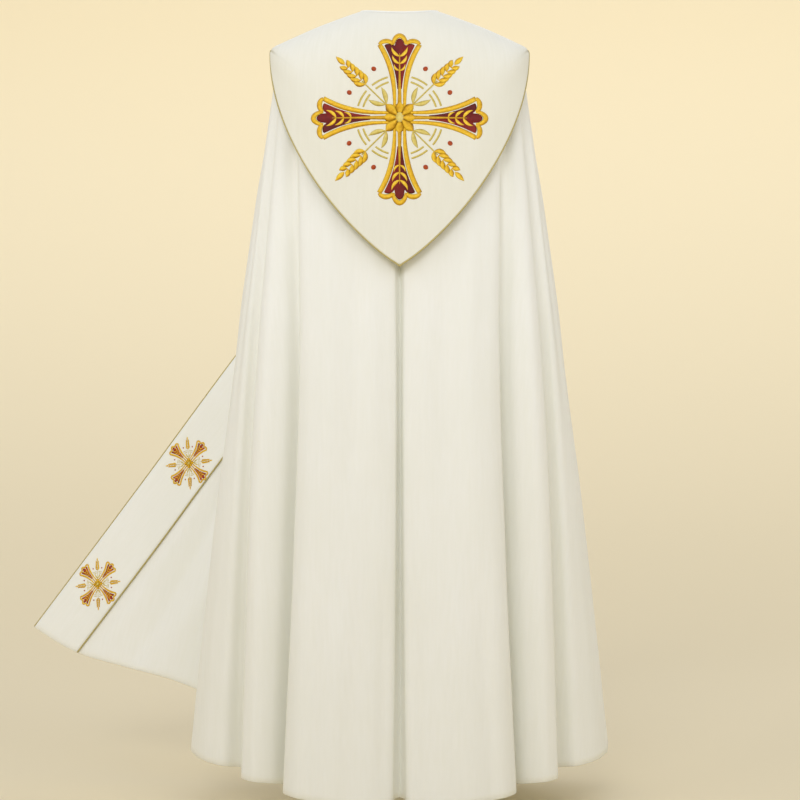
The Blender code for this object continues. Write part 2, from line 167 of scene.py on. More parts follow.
LEFT_FOLDS = (
    Fold(97.0, 0.0, 0.293, 0.03, 0.374, 0.03, -1.346),
    Fold(104.0, 0.004, 0.235, 0.06, 0.328, 0.06, -1.334),
    Fold(112.0, 0.007, 0.164, 0.086, 0.301, 0.086, -1.315, 0.188, 0.096),
    Fold(119.0, 0.004, 0.156, 0.116, 0.336, 0.11, -1.291, 0.173, 0.122),
    Fold(129.0, 0.0, 0.192, 0.14, 0.43, 0.139, -1.253, 0.17, 0.152, 0.004),
    Fold(139.0, 0.0, 0.232, 0.161, 0.542, 0.197, -1.231, 0.168, 0.184, 0.006),
    Fold(150.0, 0.0, 0.2665, 0.18, 0.636, 0.247, -1.2105, 0.166, 0.213, 0.007),
    Fold(162.6, 0.0, 0.3005, 0.2, 0.729, 0.3, -1.1666, 0.162, 0.24, 0.008),
)
RIGHT_FOLDS = (
    Fold(97.0, 0.0, 0.3, 0.03, 0.388, 0.032, -1.35),
    Fold(102.0, 0.0, 0.292, 0.066, 0.365, 0.092, -1.35),
    Fold(106.0, 0.002, 0.271, 0.088, 0.331, 0.122, -1.35),
    Fold(110.0, 0.005, 0.249, 0.092, 0.296, 0.108, -1.351),
    Fold(114.0, 0.006, 0.232, 0.101, 0.268, 0.122, -1.352),
    Fold(118.0, 0.003, 0.223, 0.122, 0.258, 0.164, -1.353),
    Fold(123.0, 0.0, 0.206, 0.145, 0.239, 0.206, -1.355),
    Fold(127.0, 0.001, 0.186, 0.155, 0.21, 0.219, -1.356),
    Fold(132.0, 0.004, 0.168, 0.152, 0.184, 0.202, -1.357),
    Fold(137.0, 0.001, 0.156, 0.161, 0.168, 0.216, -1.358),
    Fold(142.0, 0.0, 0.14, 0.178, 0.15, 0.248, -1.36),
    Fold(158.0, 0.0, 0.088, 0.188, 0.092, 0.258, -1.362),
    Fold(171.4, 0.0, 0.036, 0.192, 0.035, 0.26, -1.364),
)


@dataclass(frozen=True)
class Crease:
    """A soft ridge or trough down the cloth, at across where it starts and by lean further on at its end."""

    across: float
    lean: float
    top: float
    bottom: float
    depth: float
    width: float


# Positive depths stand out as ridges, negative ones sink in as troughs.
BACK_CREASES = (
    Crease(0.0, 0.0, 0.22, 1.72, -0.0042, 0.0046),
    Crease(0.2985, 0.004, 0.26, 1.95, 0.0068, 0.017),
    Crease(0.437, 0.004, 0.32, 1.95, 0.0055, 0.014),
    Crease(0.0985, 0.02, 0.42, 0.98, -0.0034, 0.016),
    Crease(0.0645, 0.012, 0.5, 0.9, 0.0026, 0.013),
    Crease(0.1505, 0.022, 0.34, 1.08, 0.0048, 0.019),
    Crease(0.0505, -0.006, 1.02, 1.5, -0.0036, 0.013),
    Crease(0.1185, 0.018, 1.0, 1.56, 0.0042, 0.017),
    Crease(0.1685, 0.004, 1.06, 1.56, -0.0034, 0.012),
    Crease(0.2265, 0.006, 0.6, 1.12, 0.002, 0.01),
    Crease(0.321, 0.01, 0.44, 0.98, 0.0028, 0.012),
    Crease(0.349, -0.008, 1.0, 1.56, -0.0026, 0.01),
    Crease(0.46, 0.012, 0.4, 0.92, -0.003, 0.012),
    Crease(0.499, 0.02, 0.78, 1.5, 0.0038, 0.015),
    Crease(0.535, -0.014, 0.34, 0.76, 0.0028, 0.014),
)
LEFT_CREASES = BACK_CREASES + (
    Crease(0.595, 0.03, 0.46, 1.2, -0.0038, 0.016),
    Crease(0.765, 0.04, 0.7, 1.52, 0.0048, 0.02),
    Crease(0.835, 0.02, 0.86, 1.56, -0.0046, 0.018),
    Crease(0.715, 0.01, 1.05, 1.56, 0.0042, 0.014),
    Crease(0.885, 0.02, 0.9, 1.5, 0.0032, 0.018),
)
RIGHT_CREASES = BACK_CREASES + (
    Crease(0.599, 0.012, 0.42, 1.1, -0.0036, 0.014),
    Crease(0.637, -0.01, 0.9, 1.52, 0.0034, 0.012),
    Crease(0.775, 0.014, 0.48, 1.2, -0.003, 0.012),
    Crease(0.761, 0.004, 1.08, 1.56, 0.0028, 0.01),
    Crease(0.85, 0.01, 0.6, 1.4, 0.003, 0.012),
)


# The rings that the hood lies on: drape, side, back, z_side, z_back and square, as above.
HOOD_RINGS = np.array(
    [
        (0.0, 0.075, 0.057, 0.006, -0.004, 2.0),
        (0.037, 0.107, 0.0822, -0.0055, -0.031, 2.1),
        (0.094, 0.164, 0.109, -0.028, -0.077, 2.3),
        (0.15, 0.215, 0.1275, -0.053, -0.128, 2.5),
        (0.192, 0.236, 0.137, -0.066, -0.17, 2.5),
        (0.25, 0.244, 0.146, -0.105, -0.225, 2.6),
        (0.367, 0.256, 0.164, -0.2, -0.34, 2.7),
        (0.5, 0.27, 0.185, -0.31, -0.4715, 2.8),
    ]
)


def linear(hex_colour: str) -> tuple[float, float, float, float]:
    """An sRGB hex colour as linear light.

    Args:
        hex_colour: Six hex digits after a hash.

    Returns:
        Red, green, blue and an alpha of 1.
    """
    parts = [int(hex_colour[i : i + 2], 16) / 255 for i in (1, 3, 5)]
    red, green, blue = (c / 12.92 if c <= 0.04045 else ((c + 0.055) / 1.055) ** 2.4 for c in parts)
    return red, green, blue, 1.0


def unit(vectors: Grid) -> Grid:
    """The vectors at length 1."""
    return vectors / np.maximum(np.linalg.norm(vectors, axis=-1, keepdims=True), 1e-12)


def smooth_step(low: float, high: float, values: Grid | float) -> Grid:
    """A soft step from 0 at low to 1 at high."""
    share = np.clip((values - low) / (high - low), 0, 1)
    return share * share * (3 - 2 * share)


def curve_weights(keys: Sequence[float], at: Sequence[float]) -> Grid:
    """Weights that give a smooth curve through values at keys.

    Args:
        keys: Rising positions of the known values.
        at: Positions at which the curve is wanted.

    Returns:
        One row of weights for each number in at.
    """
    keys, at = np.asarray(keys, float), np.asarray(at, float)
    known, steps = np.eye(len(keys)), np.diff(keys)[:, None]
    slopes = np.diff(known, axis=0) / steps
    inner = (slopes[:-1] * steps[1:] + slopes[1:] * steps[:-1]) / (steps[:-1] + steps[1:])
    first, last = 1.5 * slopes[0] - 0.5 * inner[0], 1.5 * slopes[-1] - 0.5 * inner[-1]
    tangents = np.concatenate([first[None], inner, last[None]])
    cell = np.clip(np.searchsorted(keys, at, side="right") - 1, 0, len(keys) - 2)
    step = steps[cell]
    part = (at - keys[cell])[:, None] / step
    return (
        (2 * part**3 - 3 * part**2 + 1) * known[cell]
        + (part**3 - 2 * part**2 + part) * step * tangents[cell]
        + (3 * part**2 - 2 * part**3) * known[cell + 1]
        + (part**3 - part**2) * step * tangents[cell + 1]
    )


def ring_point(
    side: float, depth: float, z_side: float, z_far: float, square: float, angle: float, inset: float = 0.0
) -> Grid:
    """A point of a ring.

    Args:
        side: Half width of the ring.
        depth: Half depth of the ring on the point's side of the figure.
        z_side: Height of the ring at its side.
        z_far: Height of the ring at the middle of the back or front.
        square: Power of the ring's outline, 2 for an ellipse.
        angle: Degrees from the centre back.
        inset: How far inside the ring the point lies.

    Returns:
        The point.
    """
    across, along = abs(np.sin(np.radians(angle))), abs(np.cos(np.radians(angle)))
    toward = -1.0 if angle < 90 else 1.0
    x = side * across ** (2 / square)
    y = toward * depth * along ** (2 / square)
    z = z_side * across**2 + z_far * along**2
    inward = -unit(np.array([x / side**2, y / depth**2]))
    return np.array([x + inset * inward[0], y + inset * inward[1], z])


def edge_angle(ring: Ring, edge: float) -> float:
    """The angle at which a front edge crosses a ring."""
    return 180.0 - np.degrees(np.arcsin((edge / ring.side) ** (ring.square / 2)))


def fold_line(fold: Fold, last_angle: float, edges: Sequence[float]) -> Grid:
    """The points of one fold line from the neck to the hem.

    Args:
        fold: The fold.
        last_angle: The angle of the front edge's fold at the arm ring.
        edges: The front edge's distance from the middle, for each ring.

    Returns:
        Its points at the rings, the waist, mid height, low down and the hem.
    """
    points = []
    for ring, edge in zip(RINGS, edges):
        angle = fold.angle
        if angle > SIDE_ANGLE:
            share = (angle - SIDE_ANGLE) / (last_angle - SIDE_ANGLE)
            angle = SIDE_ANGLE + share * (edge_angle(ring, edge) - SIDE_ANGLE)
        depth, z_far = (ring.back, ring.z_back) if angle < 90 else (ring.front, ring.z_front)
        inset = fold.inset * ring.growth
        points.append(ring_point(ring.side, depth, ring.z_side, z_far, ring.square, angle, inset))
    arm_z = points[-1][2]
    points.append(np.array([fold.mid_x, fold.mid_y, arm_z + MID_SHARE * (fold.hem_z - arm_z)]))
    points.append(np.array([fold.hem_x, fold.hem_y, fold.hem_z]))
    drapes = [ring.drape for ring in RINGS] + [MID_DRAPE, HEM_DRAPE]
    waist, low = curve_weights(drapes, [WAIST_DRAPE, LOW_DRAPE]) @ np.array(points)
    if fold.waist_x is not None:
        waist[:2] = fold.waist_x, fold.waist_y
    low[0] += fold.swell
    return np.array([*points[:-2], waist, points[-2], low, points[-1]])


def grid_normals(points: Grid, mirrored_start: bool = False) -> Grid:
    """Outward normals of a grid whose rows run down the cloth and whose columns run to the wearer's front.

    Args:
        points: The grid's points.
        mirrored_start: Whether the first column is a seam with its mirror image beyond it.

    Returns:
        One unit vector for each point.
    """
    down = np.gradient(points, axis=0)
    along = np.gradient(points, axis=1)
    if mirrored_start:
        along[:, 0] = points[:, 1] - points[:, 1] * FLIP_X
    return unit(np.cross(down, along))


def beside(line: Grid, normals: Grid, distance: float) -> Grid:
    """A line along the cloth at a distance from another.

    Args:
        line: The other line's points.
        normals: The cloth's normals there.
        distance: How far to the left of it the new line lies, as seen from outside.

    Returns:
        The new line's points.
    """
    steps = unit(np.diff(line, axis=0))
    before, after = np.concatenate([steps[:1], steps]), np.concatenate([steps, steps[-1:]])
    along = unit(before + after)
    stretch = 1 / np.sum(along * after, axis=1, keepdims=True)
    return line + distance * stretch * unit(np.cross(normals, along))


def travelled(points: Grid, axis: int = 0) -> Grid:
    """How far each point lies along its line.

    Args:
        points: A line of points, or a grid of them.
        axis: The axis that the lines run along.

    Returns:
        Metres from the first point of each line.
    """
    steps = np.linalg.norm(np.diff(points, axis=axis), axis=-1)
    return np.concatenate([0 * steps.take([0], axis), np.cumsum(steps, axis)], axis)


def to_end(line: Grid) -> Grid:
    """How far each point of a line lies from its last one."""
    return travelled(line[::-1])[::-1]


def cells(index: Grid) -> Grid:
    """The four corners of each cell of a grid of indices, along its row first."""
    corners = [index[:-1, :-1], index[:-1, 1:], index[1:, 1:], index[1:, :-1]]
    return np.stack(corners, axis=-1).reshape(-1, 4)


def closed(index: Grid) -> Grid:
    """A grid of indices that ends with its first column again."""
    return np.hstack([index, index[:, :1]])


def numbered(rows: int, columns: int) -> Grid:
    """The indices of a grid's points."""
    return np.arange(rows * columns).reshape(rows, columns)


def linked(name: str, data: bpy.types.ID) -> bpy.types.Object:
    """Makes an object and links it to the scene.

    Args:
        name: Its name.
        data: Its mesh, light or camera.

    Returns:
        The object.
    """
    made = bpy.data.objects.new(name, data)
    bpy.context.scene.collection.objects.link(made)
    return made


@dataclass
class MeshParts:
    """Points and faces that are gathered for one piece, with a grain coordinate and a painted shading value
    for each point.
    """

    points: list[Grid] = field(default_factory=list)
    faces: list[list[int]] = field(default_factory=list)
    grain: list[Grid] = field(default_factory=list)
    painted_shading: list[Grid] = field(default_factory=list)
    count: int = 0

    def add(self, points: Grid, faces: Iterable[Sequence[int]], grain: Grid, painted_shading: Grid) -> None:
        """Adds one closed shape.

        Args:
            points: Its points.
            faces: Its faces, as indices of its own points.
            grain: For each point, metres along and across the threads.
            painted_shading: For each point, painted shading from 0, dark, to 1, bright.
        """
        self.faces.extend([i + self.count for i in face] for face in faces)
        self.points.append(points)
        self.grain.append(grain)
        self.painted_shading.append(painted_shading)
        self.count += len(points)

    def piece(
        self, name: str, finish: bpy.types.Material, node: str = "", slot: str = "ivory_cloth"
    ) -> bpy.types.Object:
        """Makes the piece, lets it ride on the body and says which solid it stands for.

        Args:
            name: The piece's name.
            finish: Its material.
            node: The solid that it replaces, if there is one.
            slot: The material slot of that solid. Not used.

        Returns:
            The piece.
        """
        mesh = bpy.data.meshes.new(name)
        mesh.from_pydata(np.concatenate(self.points).tolist(), [], self.faces)
        corners = np.empty(len(mesh.loops), np.int32)
        mesh.loops.foreach_get("vertex_index", corners)
        layer = mesh.uv_layers.new(name="grain")
        layer.data.foreach_set("uv", np.concatenate(self.grain)[corners].astype(np.float32).ravel())
        # Painted shading, which the threads' and cords' materials read.
        shade = mesh.attributes.new("painted_shading", "FLOAT", "POINT")
        shade.data.foreach_set("value", np.concatenate(self.painted_shading).astype(np.float32))
        mesh.shade_smooth()
        mesh.materials.append(finish)
        made = linked(name, mesh)
        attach(made, "root")
        if node:
            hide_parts(node)
        LOG.info("%s: %d faces, in place of %s", name, len(mesh.polygons), node or "no solid")
        return made


def cloth_wall(outside: Grid, inside: Grid, grain: Grid, mirrored: bool = False) -> MeshParts:
    """A closed cloth wall between an outer and an inner grid, with a softly turned edge all round.

    Args:
        outside: The outer grid of points.
        inside: The inner grid of points.
        grain: For each point of a grid, metres along and across the threads.
        mirrored: Whether the wall is on the wearer's left.

    Returns:
        The wall's points and faces.
    """
    index = numbered(*outside.shape[:2])
    border = np.concatenate([index[0, :-1], index[:-1, -1], index[-1, :0:-1], index[:0:-1, 0]])
    outer, inner, grains = outside.reshape(-1, 3), inside.reshape(-1, 3), grain.reshape(-1, 2)
    through = outer[border] - inner[border]
    middle = (outer[border] + inner[border]) / 2
    outward = unit(np.cross(through, np.roll(middle, -1, axis=0) - np.roll(middle, 1, axis=0)))
    thickness = np.linalg.norm(through, axis=1, keepdims=True)
    points = np.concatenate([outer, inner, middle + TURN_SHARE * thickness * outward])
    rim = 2 * index.size + np.arange(len(border))
    turned_edge = closed(np.stack([border, rim, border + index.size]))
    quads = np.concatenate([cells(index)[:, FLIPPED], cells(index + index.size), cells(turned_edge)])
    if mirrored:
        points, quads = points * FLIP_X, quads[:, ::-1]
    parts = MeshParts()
    grains = np.concatenate([grains, grains, grains[border]])
    parts.add(points, quads.tolist(), grains, np.full(len(points), MID_TONE))
    return parts


@dataclass(frozen=True)
class Rope:
    """A cord of plies twisted round each other."""

    radius: float
    plies: int = 3
    groove: float = 0.17
    lay: float = 0.0095
    steps_a_turn: int = 9
    round_points: int = 12
    end_share: float = 0.55

    def parts(self, line: Grid) -> MeshParts:
        """The cord along a line.

        Args:
            line: The points of its centre.

        Returns:
            Its points and faces, closed at both ends.
        """
        way = travelled(line)
        count = max(8, round(way[-1] / self.lay * self.steps_a_turn))
        at = np.linspace(0, way[-1], count)
        centre = np.stack([np.interp(at, way, line[:, k]) for k in range(3)], axis=1)
        along = unit(np.gradient(centre, axis=0))
        sideways = unit(np.cross(along, np.array([0.0, 0.3, 1.0])))
        for k in range(1, count):
            sideways[k] = unit(sideways[k - 1] - along[k] * (sideways[k - 1] @ along[k]))
        upward = np.cross(along, sideways)
        turn = np.linspace(0, 2 * np.pi, self.round_points, endpoint=False)
        twist = np.arange(count) * 2 * np.pi / self.steps_a_turn
        lobes = np.abs(np.cos(self.plies * (turn[None] - twist[:, None]) / 2))
        reach = self.radius * (1 - self.groove + self.groove * lobes)
        reach[[0, -1]] *= self.end_share
        round_it = np.cos(turn)[:, None] * sideways[:, None] + np.sin(turn)[:, None] * upward[:, None]
        points = centre[:, None] + reach[..., None] * round_it
        index = numbered(count, self.round_points)
        faces = [*cells(closed(index)).tolist(), index[0, ::-1].tolist(), index[-1].tolist()]
        grain = np.stack([np.repeat(at, self.round_points), np.tile(turn * self.radius, count)], axis=1)
        parts = MeshParts()
        # The plies' lobes are also the painted shading, dark in the grooves between them.
        parts.add(points.reshape(-1, 3), faces, grain, lobes.reshape(-1))
        return parts


@dataclass(frozen=True)
class Satin:
    """How an area is stitched: its thread, its height as a share of the motif's, and the painted shade and
    light on its two sides.
    """

    thread: Thread
    rise: float = 1.0
    shaded_side: float = 0.35
    lit_side: float = 0.75


# The last two numbers of each are the painted shade and the painted light on a patch's two sides.
OUTLINE = Satin(Thread.GOLD)
SCALLOP = Satin(Thread.GOLD, 1.08)
ARM_STEM = Satin(Thread.GOLD, 0.8, 0.2, 0.5)
SPRIG = Satin(Thread.GOLD, 0.8, 0.45, 0.95)
EAR_STEM = Satin(Thread.PALE_GOLD, 0.6)
EAR_LEAF = Satin(Thread.PALE_GOLD, 1.0, 0.4, 0.9)
SIDE_GRAIN = Satin(Thread.GOLD, 1.1, 0.15, 0.95)
TOP_GRAIN = Satin(Thread.GOLD, 1.1, 0.3, 1.0)
ARC = Satin(Thread.PALE_GOLD, 0.6)
BERRY = Satin(Thread.RUST, 1.2, 0.4, 0.9)
SHORT_PETAL = Satin(Thread.GOLD, 1.5, 0.1, 0.85)
LONG_PETAL = Satin(Thread.GOLD, 2.0, 0.1, 0.85)
BOSS = Satin(Thread.PALE_GOLD, 2.6, 0.5, 1.0)


@dataclass(frozen=True)
class Patch:
    """A filled area of stitches, as a grid in the plane of its motif. Rows run along it, columns across."""

    plan: Grid
    satin: Satin

    def turned(self, degrees: float) -> "Patch":
        """The patch turned anticlockwise about the motif's centre."""
        c, s = math.cos(math.radians(degrees)), math.sin(math.radians(degrees))
        return replace(self, plan=self.plan @ np.array([[c, s], [-s, c]]))


def between(left: Grid, right: Grid, columns: int = 5) -> Grid:
    """A grid of points between two rails."""
    share = np.linspace(0, 1, columns)[None, :, None]
    return left[:, None] * (1 - share) + right[:, None] * share


def ribbon_plan(line: Grid, widths: Grid) -> Grid:
    """A strip of stitches along a line.

    Args:
        line: The strip's middle line.
        widths: Its width at each point of the line.

    Returns:
        The grid of its points.
    """
    along = unit(np.gradient(line, axis=0))
    offset = np.stack([-along[:, 1], along[:, 0]], axis=1) * widths[:, None] / 2
    return between(line + offset, line - offset)


def leaf_plan(base: Grid, tip: Grid, width: float, bow: float, fullest: float) -> Grid:
    """A pointed leaf.

    Args:
        base: Where it leaves its stem.
        tip: Its point.
        width: Its greatest width.
        bow: How far its middle line bends sideways.
        fullest: The share of its length at which it is widest.

    Returns:
        The grid of its points.
    """
    share = np.linspace(0.0, 1.0, LEAF_ROWS)
    direction = tip - base
    sideways = np.array([-direction[1], direction[0]]) / np.linalg.norm(direction)
    line = base + share[:, None] * direction + (4 * bow * share * (1 - share))[:, None] * sideways
    power = math.log(0.5) / math.log(fullest)
    widths = width * np.sin(np.pi * np.clip(share, 0.02, 0.985) ** power) ** 0.85
    return ribbon_plan(line, np.maximum(widths, LEAST_STITCH))


def upright(low: float, high: float, count: int) -> Grid:
    """A straight line up the middle of a motif."""
    return np.stack([np.zeros(count), np.linspace(low, high, count)], axis=1)


@dataclass(frozen=True)
class CrossDesign:
    """A cross of four flared arms with scalloped ends, ears of wheat between them, and a ring and rosette.

    All sizes but rise are shares of reach, the length of an arm from the centre.
    """

    reach: float
    detail: int
    waist: float = 0.058
    flare: float = 0.235
    outline: float = 0.066
    arm_start: float = 0.12
    filling_start: float = 0.34
    shoulder: float = 0.885
    side_scallop: float = 0.045
    sprigs: tuple[Pair, ...] = ((0.56, 0.105), (0.645, 0.135), (0.735, 0.150))
    grains: int = 5
    rings: Pair = (0.44, 0.50)
    arc_width: float = 0.026
    berry: float = 0.030
    petals: int = 8
    rise: float = 0.0014
    filling: Thread = Thread.CRIMSON

    def strip(self, rail: Grid, widths: Grid, satin: Satin) -> Patch:
        """A strip of stitches along a rail."""
        return Patch(ribbon_plan(rail * self.reach, widths * self.reach), satin)

    def leaf(
        self, base: Pair, tip: Pair, width: float, bow: float, satin: Satin, fullest: float = 0.42
    ) -> Patch:
        """A leaf of stitches."""
        ends = np.array([base, tip]) * self.reach
        return Patch(leaf_plan(*ends, width * self.reach, bow * self.reach, fullest), satin)

    def disc(self, middle: Pair, radius: float, satin: Satin) -> Patch:
        """A round dot of stitches.

        Args:
            middle: Its centre.
            radius: Its radius.
            satin: How it is stitched.

        Returns:
            The patch.
        """
        angles = np.linspace(0.10, np.pi - 0.10, 9)
        rails = [
            np.array(middle) + radius * np.stack([side * np.sin(angles), -np.cos(angles)], axis=1)
            for side in BOTH_SIDES
        ]
        return Patch(between(rails[0] * self.reach, rails[1] * self.reach), satin)

    def half_width(self, out: Grid) -> Grid:
        """The arm's half width at a distance from the centre."""
        share = np.clip((out - self.arm_start) / (self.shoulder - self.arm_start), 0, 1)
        return self.waist + (self.flare - self.waist) * share**2.6

    def end(self, across: Grid) -> Grid:
        """How far out the scalloped end lies, for positions from -1 to 1 across the arm."""
        lobe = np.abs(np.cos(1.5 * np.pi * across)) ** 0.55
        return self.shoulder + lobe * np.where(np.abs(across) < 1 / 3, 1 - self.shoulder, self.side_scallop)

    def arm(self) -> list[Patch]:
        """The arm that points up: a filled field with a gold sprig and a gold outline.

        Returns:
            Its patches, the field first.
        """
        inset = 0.55 * self.outline
        across = np.linspace(-1, 1, 4 * self.detail + 1)
        depth = (self.end(across) - inset - self.filling_start)[None]
        deep = self.filling_start + np.linspace(0, 1, 6 * self.detail)[:, None] * depth
        widths = np.maximum(self.half_width(deep) - inset, 0.004)
        filled = np.stack([across[None] * widths, deep], axis=-1) * self.reach
        # The field is given painted shade on one side and painted light on the other.
        patches = [Patch(filled, Satin(self.filling, 0.35, 0.25, 0.8))]

        out = np.linspace(self.arm_start, self.shoulder, 5 * self.detail)
        taper = self.outline * (0.62 + 0.38 * smooth_step(self.arm_start, 0.6, out))
        for side in BOTH_SIDES:
            rail = np.stack([side * self.half_width(out), out], axis=1)
            patches.append(self.strip(rail, taper, OUTLINE))
        for low, high in ((-1, -1 / 3), (-1 / 3, 1 / 3), (1 / 3, 1)):
            along = np.linspace(low, high, 2 * self.detail + 3)
            rail = np.stack([along * self.flare, self.end(along)], axis=1)
            widths = self.outline * np.sin(np.linspace(0.32, np.pi - 0.32, len(along))) ** 0.35
            patches.append(self.strip(rail, widths, SCALLOP))
        stem = upright(0.10, 0.80, 2 * self.detail)
        patches.append(self.strip(stem, np.linspace(0.058, 0.014, len(stem)), ARM_STEM))
        for foot, length in self.sprigs:
            for side in BOTH_SIDES:
                tip = (side * 0.62 * length, foot + 0.78 * length)
                patches.append(self.leaf((0.0, foot), tip, 0.34 * length, -side * 0.02, SPRIG))
        return patches

    def wheat_ear(self) -> list[Patch]:
        """An ear of wheat on its stem, pointing up, with a leaf and a berry on each side of the stem.

        Returns:
            Its patches, from the stem up.
        """
        patches = [self.strip(upright(0.16, 0.62, 8), np.full(8, 0.020), EAR_STEM)]
        for side in BOTH_SIDES:
            patches.append(self.leaf((0.0, 0.22), (side * 0.105, 0.405), 0.062, -side * 0.018, EAR_LEAF, 0.5))
        for k in range(self.grains):
            foot, size = 0.560 + 0.072 * k, 0.135 - 0.010 * k
            for side in BOTH_SIDES:
                tip = (side * 0.60 * size, foot + 0.86 * size)
                patches.append(self.leaf((0.0, foot), tip, 0.068, -side * 0.012, SIDE_GRAIN, 0.5))
        patches.append(self.leaf((0.0, 0.905), (0.0, 1.05), 0.066, 0.0, TOP_GRAIN))
        return patches + [self.disc((side * 0.200, 0.625), self.berry, BERRY) for side in BOTH_SIDES]

    def ring_arcs(self) -> list[Patch]:
        """The two thin rings behind the arms, as the arcs that show between two of them.

        Returns:
            Their patches, for one quarter of the cross.
        """
        patches = []
        for share in self.rings:
            gap = (float(self.half_width(np.array(share))) + 0.8 * self.outline) / share
            stem_gap = 0.045 / share
            for low, high in ((gap, np.pi / 4 - stem_gap), (np.pi / 4 + stem_gap, np.pi / 2 - gap)):
                angles = np.linspace(low, high, 3 * self.detail)
                rail = np.stack([np.sin(angles), np.cos(angles)], axis=1) * share
                patches.append(self.strip(rail, np.full(len(angles), self.arc_width), ARC))
        return patches

    def rosette(self) -> list[Patch]:
        """Long and short petals round a raised boss.

        Returns:
            Their patches, the boss last.
        """
        patches = []
        for k in range(self.petals):
            length, satin = (0.225, LONG_PETAL) if k % 2 else (0.185, SHORT_PETAL)
            petal = self.leaf((0.0, 0.02), (0.0, length), 0.118, 0.0, satin, 0.6)
            patches.append(petal.turned(360 / self.petals * k))
        return [*patches, self.disc((0.0, 0.0), 0.062, BOSS)]

    def patches(self) -> list[Patch]:
        """All the stitching of one cross.

        Returns:
            Its patches, in the order in which they are stitched.
        """
        made = []
        for turn in range(0, 360, 90):
            for group, more in ((self.arm(), 0), (self.wheat_ear(), 45), (self.ring_arcs(), 0)):
                made += [patch.turned(turn + more) for patch in group]
        return made + self.rosette()


BAND_CROSS = CrossDesign(
    reach=0.0500, detail=3, outline=0.085, waist=0.080, flare=0.27, rise=0.0008, filling=Thread.RUST
)
HOOD_CROSS = CrossDesign(reach=0.155, detail=6)


class Embroidery:
    """Raised stitches on a cloth surface, gathered by thread."""

    def __init__(self, points: Grid, normals: Grid, straight: bool) -> None:
        """Prepares the surface.

        Args:
            points: The grid of the surface's points.
            normals: Their normals.
            straight: Whether a motif's points go straight in to the cloth, or else to its nearest place.
        """
        self.straight = straight
        self.corners = [Vector(p) for p in points.reshape(-1, 3)]
        self.normals = normals.reshape(-1, 3)
        self.quads = cells(numbered(*points.shape[:2]))[:, FLIPPED].tolist()
        self.tree = BVHTree.FromPolygons(self.corners, self.quads)
        self.parts: dict[Thread, MeshParts] = {}

    def laid(self, starts: Grid, lift: Grid, outward: Grid) -> Grid:
        """Lays the points of a motif's plane on the surface.

        Args:
            starts: The points.
            lift: How far each stands off the surface.
            outward: The direction that the plane faces.

        Returns:
            The points on the cloth.
        """
        placed = np.empty_like(starts)
        for k, start in enumerate(starts):
            if self.straight:
                hit, _, face, _ = self.tree.ray_cast(Vector(start + 0.12 * outward), Vector(-outward))
            else:
                hit, _, face, _ = self.tree.find_nearest(Vector(start))
            if hit is None:
                placed[k] = start + lift[k] * outward
                continue
            quad = self.quads[face]
            weights = np.array(poly_3d_calc([self.corners[i] for i in quad], hit))
            placed[k] = np.array(hit) + lift[k] * unit(weights @ self.normals[quad])
        return placed

    def stitch(self, design: CrossDesign, centre: Grid, right: Grid, up: Grid) -> None:
        """Stitches a motif.

        Args:
            design: The motif.
            centre: Its centre.
            right: Its direction to the right.
            up: Its direction upward.
        """
        outward = unit(np.cross(right, up))
        for patch in design.patches():
            plan, satin = patch.plan, patch.satin
            rows, columns = plan.shape[:2]
            across = np.linspace(-1, 1, columns)
            ends = np.sqrt(np.clip(1 - np.linspace(-1, 1, rows) ** 6, 0.1, 1))
            dome = np.sqrt(np.clip(1 - across**2, 0, 1))[None] * ends[:, None]
            lift = satin.rise * design.rise * dome - STITCH_SINK * (np.abs(across) == 1)[None]
            starts = (centre + plan[..., :1] * right + plan[..., 1:] * up).reshape(-1, 3)
            index = numbered(rows, columns)
            under = cells(index[:, [0, -1]])[:, FLIPPED]
            faces = [*cells(index).tolist(), *under.tolist(), index[0, ::-1].tolist(), index[-1].tolist()]
            along = np.repeat(travelled(plan[:, columns // 2])[:, None], columns, 1)
            width = np.linalg.norm(plan[:, -1] - plan[:, 0], axis=1)[:, None]
            grain = np.stack([along, width * across / 2], axis=-1).reshape(-1, 2)
            # Painted shade on one side of each patch, painted light on the other.
            painted_shading = satin.shaded_side + (satin.lit_side - satin.shaded_side) * (across + 1) / 2
            parts = self.parts.setdefault(satin.thread, MeshParts())
            parts.add(self.laid(starts, lift.reshape(-1), outward), faces, grain, np.tile(painted_shading, rows))

    def finish(self, name: str, threads: dict[Thread, bpy.types.Material]) -> None:
        """Makes one piece of each thread, named for the motif and the thread."""
        for thread, parts in self.parts.items():
            parts.piece(f"{name}_{thread.value}", threads[thread])


class NodeMaterial:
    """A material and its node tree while it is being made."""

    def __init__(self, name: str) -> None:
        """Starts with a bare Principled shader.

        Args:
            name: The material's name.
        """
        self.material = bpy.data.materials.new(name)
        self.material.use_nodes = True
        self.tree = self.material.node_tree
        self.grain = self.add("UVMap", uv_map="grain")

    def feed(self, node: bpy.types.Node, inputs: dict[str | int, object]) -> None:
        """Links a node's inputs to the sockets that feed them, or sets their values.

        Args:
            node: The node.
            inputs: For each input, the socket or the value.
        """
        for key, value in inputs.items():
            if isinstance(value, bpy.types.NodeSocket):
                self.tree.links.new(value, node.inputs[key])
            else:
                node.inputs[key].default_value = value

    def add(
        self, kind: str, inputs: dict[str | int, object] | None = None, out: str | int = 0, **settings: object
    ) -> bpy.types.NodeSocket:
        """Adds a node with its settings and links.

        Args:
            kind: The node's type, without its first word.
            inputs: For each input, the socket that feeds it or its value.
            out: The output that is wanted.
            settings: The node's own settings.

        Returns:
            That output's socket.
        """
        node = self.tree.nodes.new(f"ShaderNode{kind}")
        for name, value in settings.items():
            setattr(node, name, value)
        self.feed(node, inputs or {})
        return node.outputs[out]

    def finished(self, inputs: dict[str, object]) -> bpy.types.Material:
        """The material, with these inputs on its shader."""
        self.feed(self.tree.nodes["Principled BSDF"], inputs)
        return self.material


def wave_scale(spacing: float) -> float:
    """The Scale of a wave texture whose bands are this far apart, in the units of its vector."""
    return 2 * math.pi / (20 * spacing)


